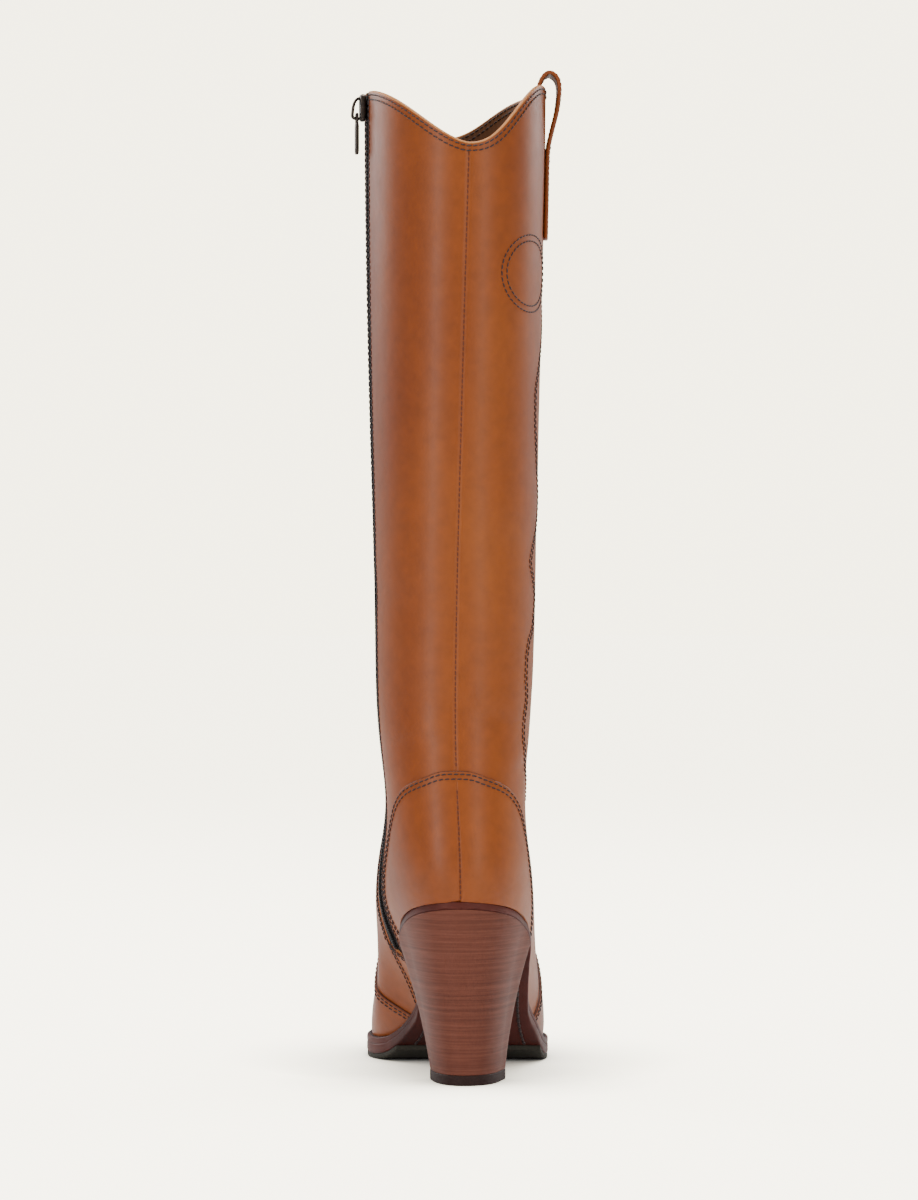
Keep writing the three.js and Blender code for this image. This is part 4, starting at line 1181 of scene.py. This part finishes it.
def weltSweep(shape):
    loop, way = footLoops[0.0]
    picked = np.nonzero(loop[:, 1] > shape["start"])[0]
    base, out = loop[picked], way[picked]
    y = base[:, 1]
    scale = (soleReach(y) / sole["reach"])[:, None]
    top, bottom = feather(y) - 0.1, feather(y) - weltDepth(y) + 0.2
    reach, curve = sole["reach"], shape["curve"]
    corner = np.linspace(0, math.pi / 2, 5)
    section = [(shape["inner"], top)]
    section += [(g, top) for g in (0.2, 1.2, 1.7, 2.1, 2.5)]
    section += [(reach - curve + curve * math.sin(a), top - curve + curve * math.cos(a)) for a in corner]
    section += [(reach - curve + curve * math.cos(a), bottom + curve - curve * math.sin(a)) for a in corner]
    section += [(shape["inner"], bottom)]
    columns = []
    for g, z in section:
        bed = 0.25 * math.exp(-((g - shape["sewn"]) / 0.35) ** 2) if z is top else 0
        point = base + out * (g * scale if g > 0 else g)
        columns.append(np.stack([point[:, 0], point[:, 1], z - bed], -1))
    welt = Heap()
    welt.addTubes(np.stack(columns, 1)[None])
    thing = welt.build("stitched_welt", soleLeather)
    weld(thing)
    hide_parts("welt")
    line = base + out * shape["sewn"] * scale
    line[:, 2] = top - 0.18
    rows = Heap()
    sewing = {**thread, "pitch": shape["pitch"], "thick": 0.44}
    grooved = {**thread, "pitch": 4.6, "long": 0.9, "thick": 0.75, "rise": 0.3}
    sewRow(rows, (line, np.tile([0.0, 0.0, 1.0], (len(line), 1))), sewing, start=3, stop=3)
    under = base - out * shape["under"]
    under[:, 2] = outsoleBottom(under[:, 1])
    keep = (under[:, 1] > sole["breast"] + 6) & (under[:, 1] < sole["halfFrom"] - 1)
    for half in (keep & (np.arange(len(y)) < len(y) / 2), keep & (np.arange(len(y)) >= len(y) / 2)):
        sewRow(rows, (under[half], np.tile([0.0, 0.0, -1.0], (int(half.sum()), 1))), grooved)
    rows.build("welt_stitching", darkThread)


weltSweep(weltShape)
print("sole ready")

# Heel: stacked lifts drawn in towards the top lift, with a rounded breast edge
heelShape = {"seatCentre": (0.7, 30.0), "liftCentre": (3.0, 27.0), "wide": 0.57, "long": 0.68, "hollow": 0.05,
             "round": 0.45, "rows": 90}


def heelOutline(count=130):
    (outer, inner), outline = outlineSides(0.0, lambda y: soleReach(y) - 0.1)
    y = lerp(outer[0][0], sole["breast"], 1 - np.cos(np.linspace(0, math.pi / 2, count)))
    left = np.stack([np.interp(y, *outer), y], -1)
    right = np.stack([np.interp(y, *inner), y], -1)
    breast = lerp(left[-1], right[-1], np.linspace(0, 1, 26)[1:-1, None])
    loop = np.concatenate([left, breast, right[::-1][:-1]])
    for _ in range(3):  # takes the sharpness off the breast corners
        sharp = loop[:, 1] > sole["breast"] - 3
        eased = (np.roll(loop, 1, axis=0) + 2 * loop + np.roll(loop, -1, axis=0)) / 4
        loop = np.where(sharp[:, None], eased, loop)
    return loop


def heelLevel(outline, drop, z, inset=0.0):
    shape = heelShape
    wide = lerp(1, shape["wide"], drop) - shape["hollow"] * 4 * drop * (1 - drop)
    long = lerp(1, shape["long"], drop) - shape["hollow"] * 2 * drop * (1 - drop)
    seat, lift = np.array(shape["seatCentre"]), np.array(shape["liftCentre"])
    middle = lerp(seat, lift, drop)
    spread = (outline - seat) * np.array([wide, long])
    spread = spread * (1 - inset / np.linalg.norm(spread, axis=-1, keepdims=True))
    x, y = (middle + spread).T
    return np.stack([x, y, z(y) if callable(z) else np.full(len(x), z)], -1)


def makeHeel(shape):
    outline = heelOutline(int(130 * max(coarse, 0.6)))
    seatCut = lambda y: outsoleBottom(y) - 0.04
    floorCut = sole["lift"] + 0.05
    centreY, liftY = shape["seatCentre"][1], shape["liftCentre"][1]

    def cut(drop):
        back = lambda y: lerp(y, (y - liftY) / shape["long"] + centreY, drop)
        return lambda y: lerp(seatCut(back(y)), floorCut, drop)
    curve = shape["round"]
    heap = Heap()
    levels = [heelLevel(outline, 0, seatCut, inset) for inset in (10, 4, 1.5)]
    levels += [heelLevel(outline, 0, lambda y, a=a: seatCut(y) - curve * (1 - math.cos(a)),
                         curve * (1 - math.sin(a))) for a in np.linspace(0, math.pi / 2, 4)]
    levels += [heelLevel(outline, d, cut(d)) for d in np.linspace(0.012, 0.985, int(shape["rows"] * coarse))]
    levels += [heelLevel(outline, 1, floorCut + 0.35 * (1 - math.sin(a)), 0.35 * (1 - math.cos(a)))
               for a in np.linspace(0, math.pi / 2, 4)]
    levels += [heelLevel(outline, 1, floorCut, inset) for inset in (2, 6, 10)]
    heap.addTubes(np.stack(levels)[None])
    block = heap.build("stacked_heel", heelStack)
    weld(block)
    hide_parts("heel_block")
    lift = Heap()
    rounds = np.linspace(0, math.pi / 2, 5)
    tall = sole["lift"]
    levels = [heelLevel(outline, 1, tall, inset) for inset in (10, 5, 1)]
    levels += [heelLevel(outline, 1, tall - 0.4 * (1 - math.cos(a)), 0.4 * (1 - math.sin(a)) - 0.15)
               for a in rounds]
    levels += [heelLevel(outline, 1, z, -0.15) for z in np.linspace(tall - 0.5, 0.8, 6)]
    levels += [heelLevel(outline, 1, 0.7 * (1 - math.sin(a)), 0.7 * (1 - math.cos(a)) - 0.15) for a in rounds]
    levels += [heelLevel(outline, 1, 0.0, inset) for inset in (3, 8)]
    lift.addTubes(np.stack(levels)[None])
    thing = lift.build("rubber_top_lift", liftRubber)
    weld(thing)
    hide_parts("top_lift")


makeHeel(heelShape)
print("heel ready")

# Camera level behind the heel, at knee height, and soft light from both sides
view = {"away": 2.48, "high": 0.234, "side": 0.00129, "lens": 147.0}
camera = bpy.data.objects.new("camera", bpy.data.cameras.new("camera"))
camera.data.sensor_fit, camera.data.sensor_height, camera.data.lens = "VERTICAL", 36, view["lens"]
camera.location = (view["side"], -view["away"], view["high"])
camera.rotation_euler = (math.radians(90), 0, 0)
bpy.context.scene.collection.objects.link(camera)
bpy.context.scene.camera = camera

lights = [  # name, place, aimed at, width, height, power, colour
    ("left_box", (-1.25, -1.7, 0.7), (0, 0, 0.25), 0.42, 1.7, 20, (1, 0.99, 0.97)),
    ("right_box", (1.25, -1.7, 0.7), (0, 0, 0.25), 0.42, 1.7, 13, (1, 0.99, 0.97)),
    ("front_left_box", (-1.6, 1.7, 1.3), (0, 0, 0.2), 0.9, 1.4, 26, (1, 0.99, 0.97)),
    ("front_right_box", (1.6, 1.7, 1.3), (0, 0, 0.2), 0.9, 1.4, 26, (1, 0.99, 0.97)),
    ("top_box", (0.0, 0.1, 2.3), (0, 0, 0.0), 1.1, 1.1, 52, (1, 1, 1)),
]
for name, place, aim, width, tall, power, colour in lights:
    lamp = bpy.data.lights.new(name, "AREA")
    lamp.shape, lamp.size, lamp.size_y, lamp.energy, lamp.color = "RECTANGLE", width, tall, power, colour
    holder = bpy.data.objects.new(name, lamp)
    holder.location = place
    holder.rotation_euler = (Vector(aim) - Vector(place)).to_track_quat("-Z", "Y").to_euler()
    bpy.context.scene.collection.objects.link(holder)

# floorGlow is the floor's even brightness; shade is the reach in metres of the painted contact shadow that
# dims that glow
studio = {"seen": 5.6, "lit": 0.62, "colour": (1.0, 0.92, 0.7), "floorGlow": 5.1, "shade": 0.08}


def makeStudio(look):  # a seamless pale surround: bright where it is seen, softer where it lights the boot
    world = bpy.data.worlds.new("studio")
    world.use_nodes = True
    nodes, links = world.node_tree.nodes, world.node_tree.links
    seen = nodes["Background"]
    seen.inputs["Color"].default_value = (*look["colour"], 1)
    seen.inputs["Strength"].default_value = look["seen"]
    lit = nodes.new("ShaderNodeBackground")
    lit.inputs["Color"].default_value = (0.95, 0.95, 0.94, 1)
    lit.inputs["Strength"].default_value = look["lit"]
    pick, path = nodes.new("ShaderNodeMixShader"), nodes.new("ShaderNodeLightPath")
    links.new(path.outputs["Is Camera Ray"], pick.inputs["Fac"])
    links.new(lit.outputs["Background"], pick.inputs[1])
    links.new(seen.outputs["Background"], pick.inputs[2])
    links.new(pick.outputs["Shader"], nodes["World Output"].inputs["Surface"])
    bpy.context.scene.world = world


def makeFloor(look, half=30.0):
    finish, nodes, links, shader = newFinish("pale studio floor")
    place = nodes.new("ShaderNodeTexCoord").outputs["Object"]
    soft = noiseAt(nodes, links, place, 3, 2, 0.5)
    links.new(rampOf(nodes, links, soft, [(0.3, (0.83, 0.825, 0.80)), (0.7, (0.84, 0.835, 0.81))]),
              shader.inputs["Base Color"])
    shader.inputs["Roughness"].default_value = 1.0
    shader.inputs["Specular IOR Level"].default_value = 0.0
    glow, path = nodes.new("ShaderNodeEmission"), nodes.new("ShaderNodeLightPath")
    glow.inputs["Color"].default_value = (*look["colour"], 1)
    strength = nodes.new("ShaderNodeMath")
    strength.operation = "MULTIPLY"
    strength.inputs[1].default_value = look["floorGlow"]
    shade = nodes.new("ShaderNodeAmbientOcclusion")  # painted soft shadow where the boot meets the floor: the floor's glow is dimmed by occlusion
    shade.inputs["Distance"].default_value = look["shade"]
    seen = nodes.new("ShaderNodeMath")
    seen.operation = "MULTIPLY"
    links.new(path.outputs["Is Camera Ray"], seen.inputs[0])
    # occlusion raised to a power deepens the painted contact shadow
    paintedShadowDepth = nodes.new("ShaderNodeMath")
    paintedShadowDepth.operation = "POWER"
    paintedShadowDepth.inputs[1].default_value = 2.2
    links.new(shade.outputs["AO"], paintedShadowDepth.inputs[0])
    links.new(paintedShadowDepth.outputs[0], seen.inputs[1])
    links.new(seen.outputs[0], strength.inputs[0])
    links.new(strength.outputs[0], glow.inputs["Strength"])
    both = nodes.new("ShaderNodeAddShader")
    links.new(shader.outputs["BSDF"], both.inputs[0])
    links.new(glow.outputs["Emission"], both.inputs[1])
    links.new(both.outputs["Shader"], nodes["Material Output"].inputs["Surface"])
    mesh = bpy.data.meshes.new("floor")
    corners = [(-half, -half, 0), (half, -half, 0), (half, half, 0), (-half, half, 0)]
    mesh.from_pydata(corners, [], [(0, 1, 2, 3)])
    mesh.materials.append(finish)
    floor = bpy.data.objects.new("floor", mesh)
    bpy.context.scene.collection.objects.link(floor)


makeStudio(studio)
makeFloor(studio)
